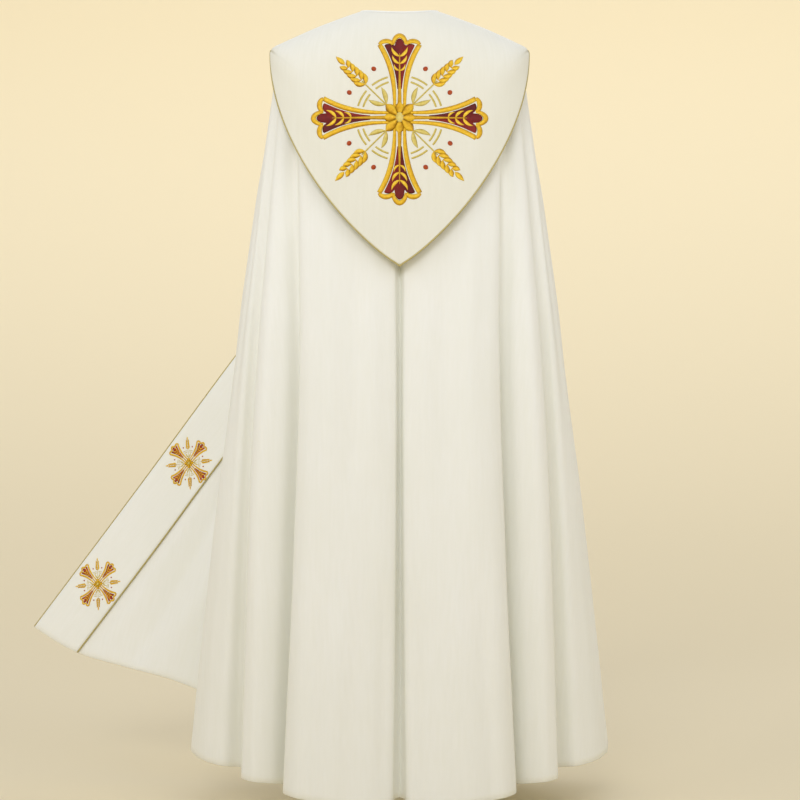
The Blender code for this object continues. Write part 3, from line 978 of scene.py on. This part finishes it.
@dataclass(frozen=True)
class WovenCloth:
    """Woven, pressed wool and polyester gabardine: smooth matt ivory with a faint sheen at grazing angles."""

    name: str = "ivory_gabardine"
    face: str = "#EEEEE4"
    deep: str = "#EBEBDF"
    # The real threads are 0.4 mm apart. They are drawn 2.4 mm apart, which is the finest that shows.
    thread_spacing: float = 0.0024
    slub_length: float = 0.055
    slub_stretch: float = 9.0
    cloud_size: float = 0.2
    relief: float = 0.0005
    relief_strength: float = 0.11
    roughness: float = 0.88
    ior: float = 1.46
    sheen: float = 0.12
    sheen_roughness: float = 0.45
    sheen_tint: str = "#FFF8E6"

    def material(self) -> bpy.types.Material:
        """The cloth's material.

        Returns:
            The material, with its weave along the grain of the pieces.
        """
        made = NodeMaterial(self.name)
        place = made.add("Mapping", {"Vector": made.grain, "Scale": (self.slub_stretch, 1.0, 1.0)})
        slub = {"Vector": place, "Scale": 1 / self.slub_length, "Detail": 4.0}
        slubs = made.add("TexNoise", slub, "Fac")
        cloud = {"Vector": made.grain, "Scale": 1 / self.cloud_size, "Detail": 2.0}
        clouds = made.add("TexNoise", cloud, "Fac")
        blend = made.add("Math", {0: slubs, 1: clouds}, operation="MULTIPLY")
        spread = made.add("MapRange", {"Value": blend, "From Min": 0.12, "From Max": 0.42})
        colours = {0: spread, 6: linear(self.deep), 7: linear(self.face)}
        colour = made.add("Mix", colours, 2, data_type="RGBA")
        wave = {"Vector": made.grain, "Scale": wave_scale(self.thread_spacing)}
        wave |= {"Distortion": 0.6, "Detail Scale": 2.0}
        warp, weft = (made.add("TexWave", wave, "Fac", bands_direction=way) for way in "XY")
        weave = made.add("Math", {0: warp, 1: weft}, operation="MULTIPLY")
        height = made.add("Math", {0: weave, 1: slubs}, operation="ADD")
        bump = {"Height": height, "Strength": self.relief_strength, "Distance": self.relief}
        shader = {"Base Color": colour, "Normal": made.add("Bump", bump), "Roughness": self.roughness}
        shader |= {"IOR": self.ior, "Sheen Weight": self.sheen, "Sheen Roughness": self.sheen_roughness}
        return made.finished(shader | {"Sheen Tint": linear(self.sheen_tint)})


@dataclass(frozen=True)
class StitchThread:
    """Rayon embroidery thread laid in satin stitch: close parallel threads with a soft gloss across them."""

    name: str
    dark: str
    middle: str
    bright: str
    roughness: float
    metallic: float
    # The real threads lie 0.4 mm apart. They are drawn 1.6 mm apart, so that they show.
    thread_spacing: float = 0.0016
    mottle_size: float = 0.00625
    relief: float = 0.0005
    relief_strength: float = 0.45
    anisotropic: float = 0.35
    specular: float = 0.3

    def material(self) -> bpy.types.Material:
        """The thread's material.

        Returns:
            The material, with painted shade and painted light across each stitch.
        """
        made = NodeMaterial(self.name)
        # Painted shade and light across each stitch.
        painted_shading = made.add("Attribute", out="Fac", attribute_name="painted_shading")
        wave = {"Vector": made.grain, "Scale": wave_scale(self.thread_spacing), "Distortion": 1.2}
        rows = made.add("TexWave", wave | {"Detail": 1.0}, "Fac", bands_direction="X")
        patchy = {"Vector": made.grain, "Scale": 1 / self.mottle_size, "Detail": 3.0}
        uneven = made.add("TexNoise", patchy, "Fac")
        mottle = made.add("Math", {0: uneven, 1: 0.55, 2: painted_shading}, operation="MULTIPLY_ADD")
        shade = made.add("Math", {0: rows, 1: 0.18, 2: mottle}, operation="MULTIPLY_ADD")
        spread = made.add("MapRange", {"Value": shade, "From Min": 0.35, "From Max": 1.4})
        colour = made.add("ValToRGB", {"Fac": spread})
        stops = colour.node.color_ramp.elements
        stops[0].color = linear(self.dark)
        stops[1].color = linear(self.bright)
        stops.new(0.5).color = linear(self.middle)
        bump = {"Height": rows, "Strength": self.relief_strength, "Distance": self.relief}
        shader = {"Base Color": colour, "Normal": made.add("Bump", bump), "Roughness": self.roughness}
        shader |= {"Metallic": self.metallic, "Anisotropic": self.anisotropic}
        return made.finished(shader | {"Specular IOR Level": self.specular})


# Each thread's colours from dark to bright, which painted shading across each stitch and a random mottle pick
# between, its roughness and its share of metal.
THREAD_DYES_AND_SHADING = {
    Thread.GOLD: ("#8A5E0C", "#DFAD1C", "#FBDE48", 0.40, 0.30),
    Thread.PALE_GOLD: ("#857728", "#C8B250", "#EDDC8A", 0.45, 0.25),
    Thread.CRIMSON: ("#350502", "#6C0E04", "#9C240A", 0.55, 0.0),
    Thread.RUST: ("#5C1604", "#A03A0A", "#C45A18", 0.55, 0.0),
}


@dataclass(frozen=True)
class CordYarn:
    """Metallised yarn twisted into a cord: old gold, with painted shade that makes it darker and greener in
    the grooves between its plies.
    """

    name: str = "old_gold_cord"
    # Painted shade: the grooves' colour is darker and greener than the crowns'.
    groove: str = "#857A45"
    crown: str = "#D2C17C"
    strand_spacing: float = 1 / 900
    roughness: float = 0.42
    metallic: float = 0.35

    def material(self) -> bpy.types.Material:
        """The cord's material.

        Returns:
            The material, with painted shade in the grooves between its plies.
        """
        made = NodeMaterial(self.name)
        # Painted shade in the grooves, from the plies' lobes.
        painted_shading = made.add("Attribute", out="Fac", attribute_name="painted_shading")
        strand = {"Vector": made.grain, "Scale": 1 / self.strand_spacing, "Detail": 2.0}
        strands = made.add("TexNoise", strand, "Fac")
        shade = made.add("Math", {0: strands, 1: 0.4, 2: painted_shading}, operation="MULTIPLY_ADD")
        spread = made.add("MapRange", {"Value": shade, "From Min": 0.2, "From Max": 1.3})
        colours = {0: spread, 6: linear(self.groove), 7: linear(self.crown)}
        colour = made.add("Mix", colours, 2, data_type="RGBA")
        return made.finished({"Base Color": colour, "Roughness": self.roughness, "Metallic": self.metallic})


@dataclass
class Finishes:
    """The materials that the pieces share."""

    cloth: bpy.types.Material
    shaded_hood_cloth: bpy.types.Material
    cord: bpy.types.Material
    threads: dict[Thread, bpy.types.Material]

    @classmethod
    def made(cls) -> "Finishes":
        """Makes each material once.

        Returns:
            The finishes.
        """
        # The same cloth over the hood's stiff interlining, painted a little darker over the whole hood as
        # shade.
        shaded_hood_cloth = WovenCloth("interlined_gabardine", face="#E5E3D2", deep="#E1DFCC")
        dyed = {
            thread: StitchThread(f"{thread.value}_rayon_thread", *dye_and_shading).material()
            for thread, dye_and_shading in THREAD_DYES_AND_SHADING.items()
        }
        return cls(WovenCloth().material(), shaded_hood_cloth.material(), CordYarn().material(), dyed)


@dataclass
class CloakHalf:
    """One half of the cloak with the band on its front edge and the cords on both sides of the band."""

    side: Side
    front_folds: tuple[Fold, ...]
    creases: tuple[Crease, ...]
    flat: Pair
    area: float
    band_flat: Pair
    cloth: float = 0.0015
    band_cloth: float = 0.0015
    band_width: float = 0.113
    band_least_yoke: float = 0.012
    panel_pitch: float = 0.0075
    band_columns: int = 14
    upper_rows: int = 36
    lower_rows: int = 110
    hem_share: float = 0.6
    ripple: float = 0.0007
    cord_radius: float = 0.0015
    inner_cord_lift: float = 0.0025
    first_motif: float = 0.145
    motif_spacing: float = 0.306
    motif_count: int = 4
    hem_turn: float = 0.030
    hem_fade: float = 0.004
    hem_step: float = 0.0009

    def __post_init__(self) -> None:
        """Works out the fold lines and the fine grid of the cloth."""
        edges = [r.edge_left if self.side is Side.LEFT else r.edge_right for r in RINGS]
        folds = BACK_FOLDS + self.front_folds
        lines = np.array([fold_line(fold, self.front_folds[-1].angle, edges) for fold in folds])
        arm = RINGS[-1].drape
        arm_across, hem_across = travelled(lines[:, len(RINGS) - 1]), travelled(lines[:, -1])
        self.fold_across = self.hem_share * hem_across + (1 - self.hem_share) * arm_across
        self.fold_steps = np.diff(hem_across)
        self.lines = np.concatenate([(lines[1] * FLIP_X)[None], lines])
        self.across = np.concatenate([[-self.fold_across[1]], self.fold_across])
        self.drapes = [r.drape for r in RINGS] + [WAIST_DRAPE, MID_DRAPE, LOW_DRAPE, HEM_DRAPE]
        self.side_across = self.fold_across[len(BACK_FOLDS) - 1]
        self.edge_across = self.fold_across[-1]
        self.front = np.linspace(self.side_across, self.edge_across, FRONT_STEPS)
        upper = np.linspace(0, arm, self.upper_rows)
        self.rows = np.concatenate([upper, np.linspace(arm, HEM_DRAPE, self.lower_rows)[1:]])
        self.grid, self.normals = self.fine_grid()

    def surface(self, across: Grid, drape: float) -> Grid:
        """The smooth surface's points at one distance down the cloth."""
        down = curve_weights(self.drapes, [drape])[0]
        return curve_weights(self.across, across) @ np.einsum("s,fsk->fk", down, self.lines)

    def fall(self, across: Grid, drape: float) -> Grid:
        """The smooth surface's steps down the cloth at those points."""
        top, low = max(drape - SLOPE_STEP, 0.0), min(drape + SLOPE_STEP, HEM_DRAPE)
        return self.surface(across, low) - self.surface(across, top)

    def surface_normals(self, across: Grid, drape: float) -> Grid:
        """The smooth surface's outward normals at those points."""
        ahead = self.surface(np.minimum(across + SLOPE_STEP, self.edge_across), drape)
        return unit(np.cross(self.fall(across, drape), ahead - self.surface(across - SLOPE_STEP, drape)))

    def band_line(self, drape: float) -> float:
        """Where the band's inner edge lies in one row, with the band's width square to the front edge.

        Args:
            drape: The row's distance down the cloth.

        Returns:
            The position across the cloth.
        """
        row = self.surface(self.front, drape)
        to_edge = to_end(row)
        down = self.fall(self.front[-1:], drape)[0]
        square = np.linalg.norm(np.cross(unit(row[-1] - row[-2]), unit(down)))
        width = min(self.band_width / square, to_edge[0] - self.band_least_yoke)
        return float(np.interp(-width, -to_edge, self.front))

    def columns(self, drape: float) -> Grid:
        """Positions across the cloth for one row: along the folds, then evenly over the band.

        Args:
            drape: The row's distance down the cloth.

        Returns:
            The positions.
        """
        plain = [0.0]
        for start, end, step in zip(self.fold_across, self.fold_across[1:], self.fold_steps):
            plain += list(np.linspace(start, end, max(3, round(step / self.panel_pitch)) + 1)[1:])
        plain = np.array(plain)
        hem_line, line = self.band_line(HEM_DRAPE), self.band_line(drape)
        kept = plain[plain < hem_line - 0.4 * self.panel_pitch]
        beyond = kept > self.side_across
        scale = (line - self.side_across) / (hem_line - self.side_across)
        kept[beyond] = self.side_across + (kept[beyond] - self.side_across) * scale
        return np.concatenate([kept, np.linspace(line, self.edge_across, self.band_columns + 1)])

    def crease_depth(self, across: Grid, drape: float) -> Grid:
        """How far the soft creases move the cloth out, at points of one row.

        Args:
            across: The points' positions across the cloth.
            drape: Their distance down the cloth.

        Returns:
            Distances in metres, outward where positive.
        """
        depth = np.zeros(len(across))
        for crease in self.creases:
            share = (drape - crease.top) / (crease.bottom - crease.top)
            if not 0 < share < 1:
                continue
            middle = crease.across + crease.lean * share
            fade = smooth_step(0, 0.3, share) * smooth_step(0, 0.3, 1 - share)
            depth += crease.depth * fade * np.exp(-(((across - middle) / crease.width) ** 2))
        slow = np.sin(9.0 * across + 5.1 * drape) + 0.7 * np.sin(17.0 * across - 7.3 * drape + 1.3)
        return depth + self.ripple * slow * smooth_step(0.25, 0.6, drape) * smooth_step(0.04, 0.12, across)

    def fine_grid(self) -> tuple[Grid, Grid]:
        """The outer points of the cloth and their normals, creases included.

        Returns:
            The points and the normals.
        """
        points = []
        for drape in self.rows:
            across = self.columns(drape)
            moved = self.crease_depth(across, drape)[:, None] * self.surface_normals(across, drape)
            points.append(self.surface(across, drape) + moved)
        grid = np.array(points)
        grid[:, 0, 0] = 0.0
        normals = grid_normals(grid, mirrored_start=True)
        grid[:, :, 0] += SEAM_GAP / 2
        return grid, normals

    def grain(self, grid: Grid) -> Grid:
        """For each point, metres along its row and down the cloth."""
        down = np.repeat(self.rows[-len(grid) :, None], grid.shape[1], 1)
        return np.stack([travelled(grid, 1), down], axis=-1)

    def build(self, finishes: Finishes) -> None:
        """Builds and dresses the half cloak, its band, its cords and the band's stitched crosses.

        Args:
            finishes: The shared materials.
        """
        mirrored, word = self.side is Side.LEFT, self.side.word
        hem = HEM_DRAPE - self.hem_turn
        turned = smooth_step(hem - self.hem_fade, hem, self.rows)
        inside = self.grid - (self.cloth + self.hem_step * turned)[:, None, None] * self.normals
        body = cloth_wall(self.grid, inside, self.grain(self.grid), mirrored)
        piece = body.piece(f"cloak_{word}", finishes.cloth, f"body_{word}")

        band = slice(-(self.band_columns + 1), None)
        points, normals = self.grid[1:, band], self.normals[1:, band]
        under = points + SEAM_GAP * normals
        over = under + self.band_cloth * normals
        strip = cloth_wall(over, under, self.grain(points), mirrored)
        piece = strip.piece(f"front_band_{word}", finishes.cloth, f"orphrey_{word}")

        out = self.cord_radius + SEAM_GAP
        cords = (("edge", -1, out, 0.5 * SEAM_GAP), ("inner", 0, -out, self.inner_cord_lift))
        for place, column, aside, lift in cords:
            line = beside(points[:, column], normals[:, column], aside) + lift * normals[:, column]
            parts = Rope(self.cord_radius).parts(line * self.side.flip)
            parts.piece(f"cord_{place}_{word}", finishes.cord, f"piping_{place}_{word}", "gold_cord")
        self.add_crosses(over * self.side.flip, normals * self.side.flip, finishes)

    def add_crosses(self, over: Grid, normals: Grid, finishes: Finishes) -> None:
        """Stitches the small crosses down the middle of the band.

        Args:
            over: The band's outer points.
            normals: Their normals.
            finishes: The shared materials.
        """
        embroidery = Embroidery(over, normals, straight=False)
        middle, facing = over[:, self.band_columns // 2], normals[:, self.band_columns // 2]
        to_hem = to_end(middle)
        for k in range(self.motif_count):
            at = self.first_motif + k * self.motif_spacing
            centre = np.array([np.interp(-at, -to_hem, middle[:, i]) for i in range(3)])
            normal = unit(np.array([np.interp(-at, -to_hem, facing[:, i]) for i in range(3)]))
            row = int(np.argmin(np.abs(to_hem - at)))
            up = middle[max(row - 3, 0)] - middle[min(row + 3, len(middle) - 1)]
            up = unit(up - normal * (up @ normal))
            embroidery.stitch(BAND_CROSS, centre, np.cross(up, normal), up)
        embroidery.finish(f"band_crosses_{self.side.word}", finishes.threads)


@dataclass
class Hood:
    """The shield-shaped hood, its cord, and the cross on it."""

    left: CloakHalf
    right: CloakHalf
    cloth: float = 0.0018
    corner_drape: float = 0.192
    top_z: float = -0.0654
    drop: float = 0.4055
    half_width: float = 0.236
    curve: float = 1.88
    point: float = 0.85
    side_angle: float = 91.0
    last_angle: float = 0.04
    upper_rows: int = 34
    lower_rows: int = 76
    columns: int = 128
    cord_radius: float = 0.0015
    cross_height: float = -0.2065
    tacked_columns: int = 10
    tacked_drape: float = 0.120
    loose_drape: float = 0.190

    def edge_x(self, z: float) -> float:
        """The hood's half width at a height."""
        down = min(max((self.top_z - z) / self.drop, 0), 1)
        return self.half_width * (1 - down**self.curve) ** self.point

    @staticmethod
    def at(values: Grid, angle: float) -> Grid:
        """A point of one of the hood's rings.

        Args:
            values: The ring's side, back, z_side, z_back and square.
            angle: Degrees either side of the centre back.

        Returns:
            The point.
        """
        place = ring_point(*values, min(abs(angle), 89.999))
        if abs(angle) > 90:
            place[1] = (abs(angle) - 90) * np.radians(values[0])
        place[0] *= np.sign(angle)
        return place

    def end_angle(self, values: Grid, drape: float) -> float:
        """How far round the hood reaches.

        Args:
            values: The ring's values at this distance down.
            drape: The distance.

        Returns:
            Degrees from the centre back.
        """
        if drape <= self.corner_drape:
            return self.side_angle
        low, high = 0.0, self.side_angle
        for _ in range(30):
            middle = (low + high) / 2
            place = self.at(values, middle)
            low, high = (middle, high) if place[0] < self.edge_x(place[2]) else (low, middle)
        return max(low, self.last_angle)

    def fine_grid(self) -> tuple[Grid, Grid, Grid]:
        """The hood's inner points, their normals and their grain, in metres from its middle and down.

        Returns:
            The points, the normals and the grain.
        """
        keys, table = HOOD_RINGS[:, 0], HOOD_RINGS[:, 1:]
        upper = np.linspace(0, self.corner_drape, self.upper_rows)
        rows = np.concatenate([upper, np.linspace(self.corner_drape, keys[-1], self.lower_rows)[1:]])
        points = []
        for drape, values in zip(rows, curve_weights(keys, rows) @ table):
            end = self.end_angle(values, drape)
            points.append([self.at(values, angle) for angle in np.linspace(-1, 1, self.columns + 1) * end])
        grid = np.array(points)
        normals = grid_normals(grid)
        normals[-1] = normals[-2]
        grid = grid + self.softness(grid, rows)[..., None] * normals
        self.tack_down(grid, rows)
        along = travelled(grid, 1)
        along -= along[:, -1:] / 2
        down = np.repeat(rows[:, None], grid.shape[1], 1)
        return grid, grid_normals(grid), np.stack([along, down], axis=-1)

    def tack_down(self, grid: Grid, rows: Grid) -> None:
        """Lays the hood's front edges on the shoulders, where stitches hold them.

        Args:
            grid: The hood's inner points, which are moved.
            rows: Their distances down the hood.
        """
        hold = 1 - smooth_step(self.tacked_drape, self.loose_drape, rows[rows < self.loose_drape])
        near = smooth_step(0, 1, np.linspace(1, 0, self.tacked_columns))
        weights = (hold[:, None] * near)[..., None]
        for half, order in ((self.left, 1), (self.right, -1)):
            edge, flip = grid[: len(hold), ::order][:, : self.tacked_columns], half.side.flip
            upper = half.rows < 2 * self.loose_drape
            places, facing = half.grid[upper].reshape(-1, 3), half.normals[upper].reshape(-1, 3)
            for i, j in np.ndindex(edge.shape[:2]):
                k = np.argmin(np.linalg.norm(places - edge[i, j] * flip, axis=1))
                gap = (edge[i, j] * flip - places[k]) @ facing[k] - SEAM_GAP
                edge[i, j] -= weights[i, j] * max(gap, 0.0) * facing[k] * flip

    @staticmethod
    def softness(grid: Grid, rows: Grid) -> Grid:
        """How far the hood's soft swells stand off its plain form.

        Args:
            grid: The hood's points.
            rows: Their distances down the hood.

        Returns:
            Distances in metres, always outward.
        """
        x, z = grid[..., 0], grid[..., 2]
        swell = 0.0016 * np.exp(-(((np.abs(x) - 0.16 - 0.4 * (z + 0.2)) / 0.028) ** 2))
        wave = 0.0008 * (1 + np.sin(31.0 * x + 4.0) * np.cos(14.0 * z))
        return (swell + wave) * smooth_step(0.05, 0.2, rows)[:, None]

    def build(self, finishes: Finishes) -> None:
        """Builds and dresses the hood, its cord and its cross.

        Args:
            finishes: The shared materials.
        """
        inner, normals, grain = self.fine_grid()
        outer = inner + self.cloth * normals
        # The hood's cloth is painted a little darker, as shade.
        piece = cloth_wall(outer, inner, grain).piece("hood_shield", finishes.shaded_hood_cloth, "hood")

        middle = inner + 0.5 * self.cloth * normals
        out, first = self.cord_radius + SEAM_GAP, self.upper_rows - 1
        right_line = beside(middle[first:, -1], normals[first:, -1], out)[:-2]
        tip = middle[-1, self.columns // 2] + np.array([0, 0, -2 * out])
        line = np.concatenate([right_line * FLIP_X, tip[None], right_line[::-1]])
        Rope(self.cord_radius).parts(line).piece("cord_hood", finishes.cord, "piping_hood", "gold_cord")

        embroidery = Embroidery(outer, normals, straight=True)
        right, up = np.array([1.0, 0.0, 0.0]), np.array([0.0, 0.0, 1.0])
        embroidery.stitch(HOOD_CROSS, np.array([0.0, -0.16, self.cross_height]), right, up)
        embroidery.finish("hood_cross", finishes.threads)


@dataclass
class NeckAndChest:
    """The binding round the neck edge and the tab that joins the fronts."""

    left: CloakHalf
    right: CloakHalf
    binding_radius: float = 0.0024
    binding_centre: float = 0.0004
    tab_top: float = 0.088
    tab_low: float = 0.140
    tab_reach: float = 0.058
    tab_inset: float = 0.004
    tab_cloth: float = 0.0025
    tab_crown: float = 0.0010
    tab_lift: float = 0.0024
    tab_rows: int = 15
    tab_columns: int = 12

    def build(self, finishes: Finishes) -> None:
        """Builds and dresses both."""
        self.add_binding(finishes)
        self.add_tab(finishes)

    def add_binding(self, finishes: Finishes) -> None:
        """The rolled binding along the top edges of the cloak and hood.

        Args:
            finishes: The shared materials.
        """
        out = self.binding_radius + SEAM_GAP
        left, right = (
            beside(half.grid[0], half.normals[0], out) + self.binding_centre * half.normals[0]
            for half in (self.left, self.right)
        )
        line = np.concatenate([left[::-1] * FLIP_X, right[1:]])
        rope = Rope(self.binding_radius, plies=2, groove=0.10, lay=0.4, steps_a_turn=160)
        rope.parts(line).piece("neck_band", finishes.cloth, "neck_binding")

    def tab_half(self, half: CloakHalf) -> tuple[Grid, Grid]:
        """The part of the tab that lies on one front.

        Args:
            half: That side of the cloak.

        Returns:
            Its points and their normals, from its end to the front edge.
        """
        points, normals = [], []
        reach = np.linspace(self.tab_reach, self.tab_inset, self.tab_columns)
        for drape in np.linspace(self.tab_top, self.tab_low, self.tab_rows):
            across = np.interp(-reach, -to_end(half.surface(half.front, drape)), half.front)
            points.append(half.surface(across, drape))
            normals.append(half.surface_normals(across, drape))
        return np.array(points), np.array(normals)

    def add_tab(self, finishes: Finishes) -> None:
        """The tab, softly padded by its turned edges.

        Args:
            finishes: The shared materials.
        """
        right, right_normals = self.tab_half(self.right)
        left, left_normals = (values * FLIP_X for values in self.tab_half(self.left))
        points = np.concatenate([right, left[:, ::-1]], axis=1)
        normals = np.concatenate([right_normals, left_normals[:, ::-1]], axis=1)
        share = np.linspace(-1, 1, self.tab_rows)[:, None, None]
        inside = points + self.tab_lift * normals
        outside = inside + (self.tab_cloth + self.tab_crown * (1 - share**4)) * normals
        along = travelled(points, 1)
        down = np.linspace(0, self.tab_low - self.tab_top, self.tab_rows)[:, None] + 0 * along
        tab = cloth_wall(outside, inside, np.stack([along, down], axis=-1))
        piece = tab.piece("chest_tab", finishes.cloth, "clasp_tab")


@dataclass(frozen=True)
class SoftLight:
    """A distant light behind a wide diffuser. Its azimuth is in degrees to the right of the camera."""

    name: str
    azimuth: float
    elevation: float
    spread: float
    strength: float
    colour: str = "#F2F4FF"


@dataclass
class Studio:
    """The floor, the lights and the camera."""

    floor_z: float = -1.445
    floor_hole: float = 0.05
    flat_radius: float = 2.2
    sweep_out: float = 4.7
    sweep_up: float = 2.80
    turns: int = 96
    tint: str = "#E1D2A9"
    pale_tint: str = "#E5D7B1"
    paper_roughness: float = 0.95
    camera_place: tuple[float, float, float] = (0.0007, -4.0, -0.7127)
    lens: float = 96.77
    sensor: float = 36.0
    ambient: float = 0.79
    sky: str = "#EAEEFF"
    light_distance: float = 3.0
    lights: tuple[SoftLight, ...] = (
        SoftLight("key", -10.0, 22.0, 30.0, 1.29),
        SoftLight("fill", 44.0, 19.0, 40.0, 0.55),
        SoftLight("side", -58.0, 20.0, 40.0, 0.50),
        SoftLight("back", 172.0, 26.0, 34.0, 1.08),
    )

    def build(self) -> None:
        """Builds the stage, the light and the camera."""
        self.add_stage()
        for light in self.lights:
            self.add_light(light)
        world = bpy.data.worlds.new("soft_daylight")
        world.use_nodes = True
        background = world.node_tree.nodes["Background"]
        background.inputs["Color"].default_value = linear(self.sky)
        background.inputs["Strength"].default_value = self.ambient
        bpy.context.scene.world = world
        bpy.context.scene.view_settings.view_transform = "Standard"
        self.add_camera()
        LOG.info("studio: %d lights", len(self.lights))

    def add_stage(self) -> None:
        """A plain pale floor that sweeps up into a low wall all round, outside every camera."""
        profile = [(self.floor_hole, self.floor_z)]
        for turn in np.linspace(0, np.pi / 2, 25):
            out = self.flat_radius + self.sweep_out * math.sin(turn)
            profile.append((out, self.floor_z + self.sweep_up * (1 - math.cos(turn))))
        around = np.linspace(0, 2 * np.pi, self.turns, endpoint=False)
        points = [(r * math.cos(t), r * math.sin(t), z) for r, z in profile for t in around]
        index = numbered(len(profile), self.turns)
        faces = [*cells(closed(index))[:, FLIPPED].tolist(), index[0].tolist()]
        mesh = bpy.data.meshes.new("studio_sweep")
        mesh.from_pydata(points, [], faces)
        mesh.shade_smooth()
        paper = NodeMaterial("matt_paper")
        cloud = paper.add("TexNoise", {"Scale": 1.2, "Detail": 2.0}, "Fac")
        tints = {0: cloud, 6: linear(self.tint), 7: linear(self.pale_tint)}
        colour = paper.add("Mix", tints, 2, data_type="RGBA")
        mesh.materials.append(paper.finished({"Base Color": colour, "Roughness": self.paper_roughness}))
        linked("studio_sweep", mesh)

    def add_light(self, light: SoftLight) -> None:
        """Adds one light, turned to the middle of the cloak.

        Args:
            light: The light.
        """
        data = bpy.data.lights.new(light.name, "SUN")
        data.energy = light.strength
        data.angle = math.radians(light.spread)
        data.color = linear(light.colour)[:3]
        turn, lift = math.radians(light.azimuth), math.radians(light.elevation)
        toward = Vector((math.sin(turn) * math.cos(lift), -math.cos(turn) * math.cos(lift), math.sin(lift)))
        made = linked(light.name, data)
        made.location = self.light_distance * toward
        made.rotation_euler = toward.to_track_quat("Z", "Y").to_euler()

    def add_camera(self) -> None:
        """The camera, level and square to the back, as in the photograph."""
        data = bpy.data.cameras.new("camera")
        data.lens, data.sensor_width = self.lens, self.sensor
        made = linked("camera", data)
        made.location = self.camera_place
        made.rotation_euler = (math.pi / 2, 0, 0)
        bpy.context.scene.camera = made


def main() -> None:
    """Builds the looks of the cope."""
    logging.basicConfig(level=logging.INFO, format="%(name)s: %(message)s")
    finishes = Finishes.made()
    left = CloakHalf(Side.LEFT, LEFT_FOLDS, LEFT_CREASES, (1.31, 1.51), 1.23, (0.113, 1.43))
    right = CloakHalf(Side.RIGHT, RIGHT_FOLDS, RIGHT_CREASES, (1.31, 1.51), 1.22, (0.113, 1.38))
    left.build(finishes)
    right.build(finishes)
    Hood(left, right).build(finishes)
    NeckAndChest(left, right).build(finishes)
    Studio().build()


if __name__ == "__main__":
    main()
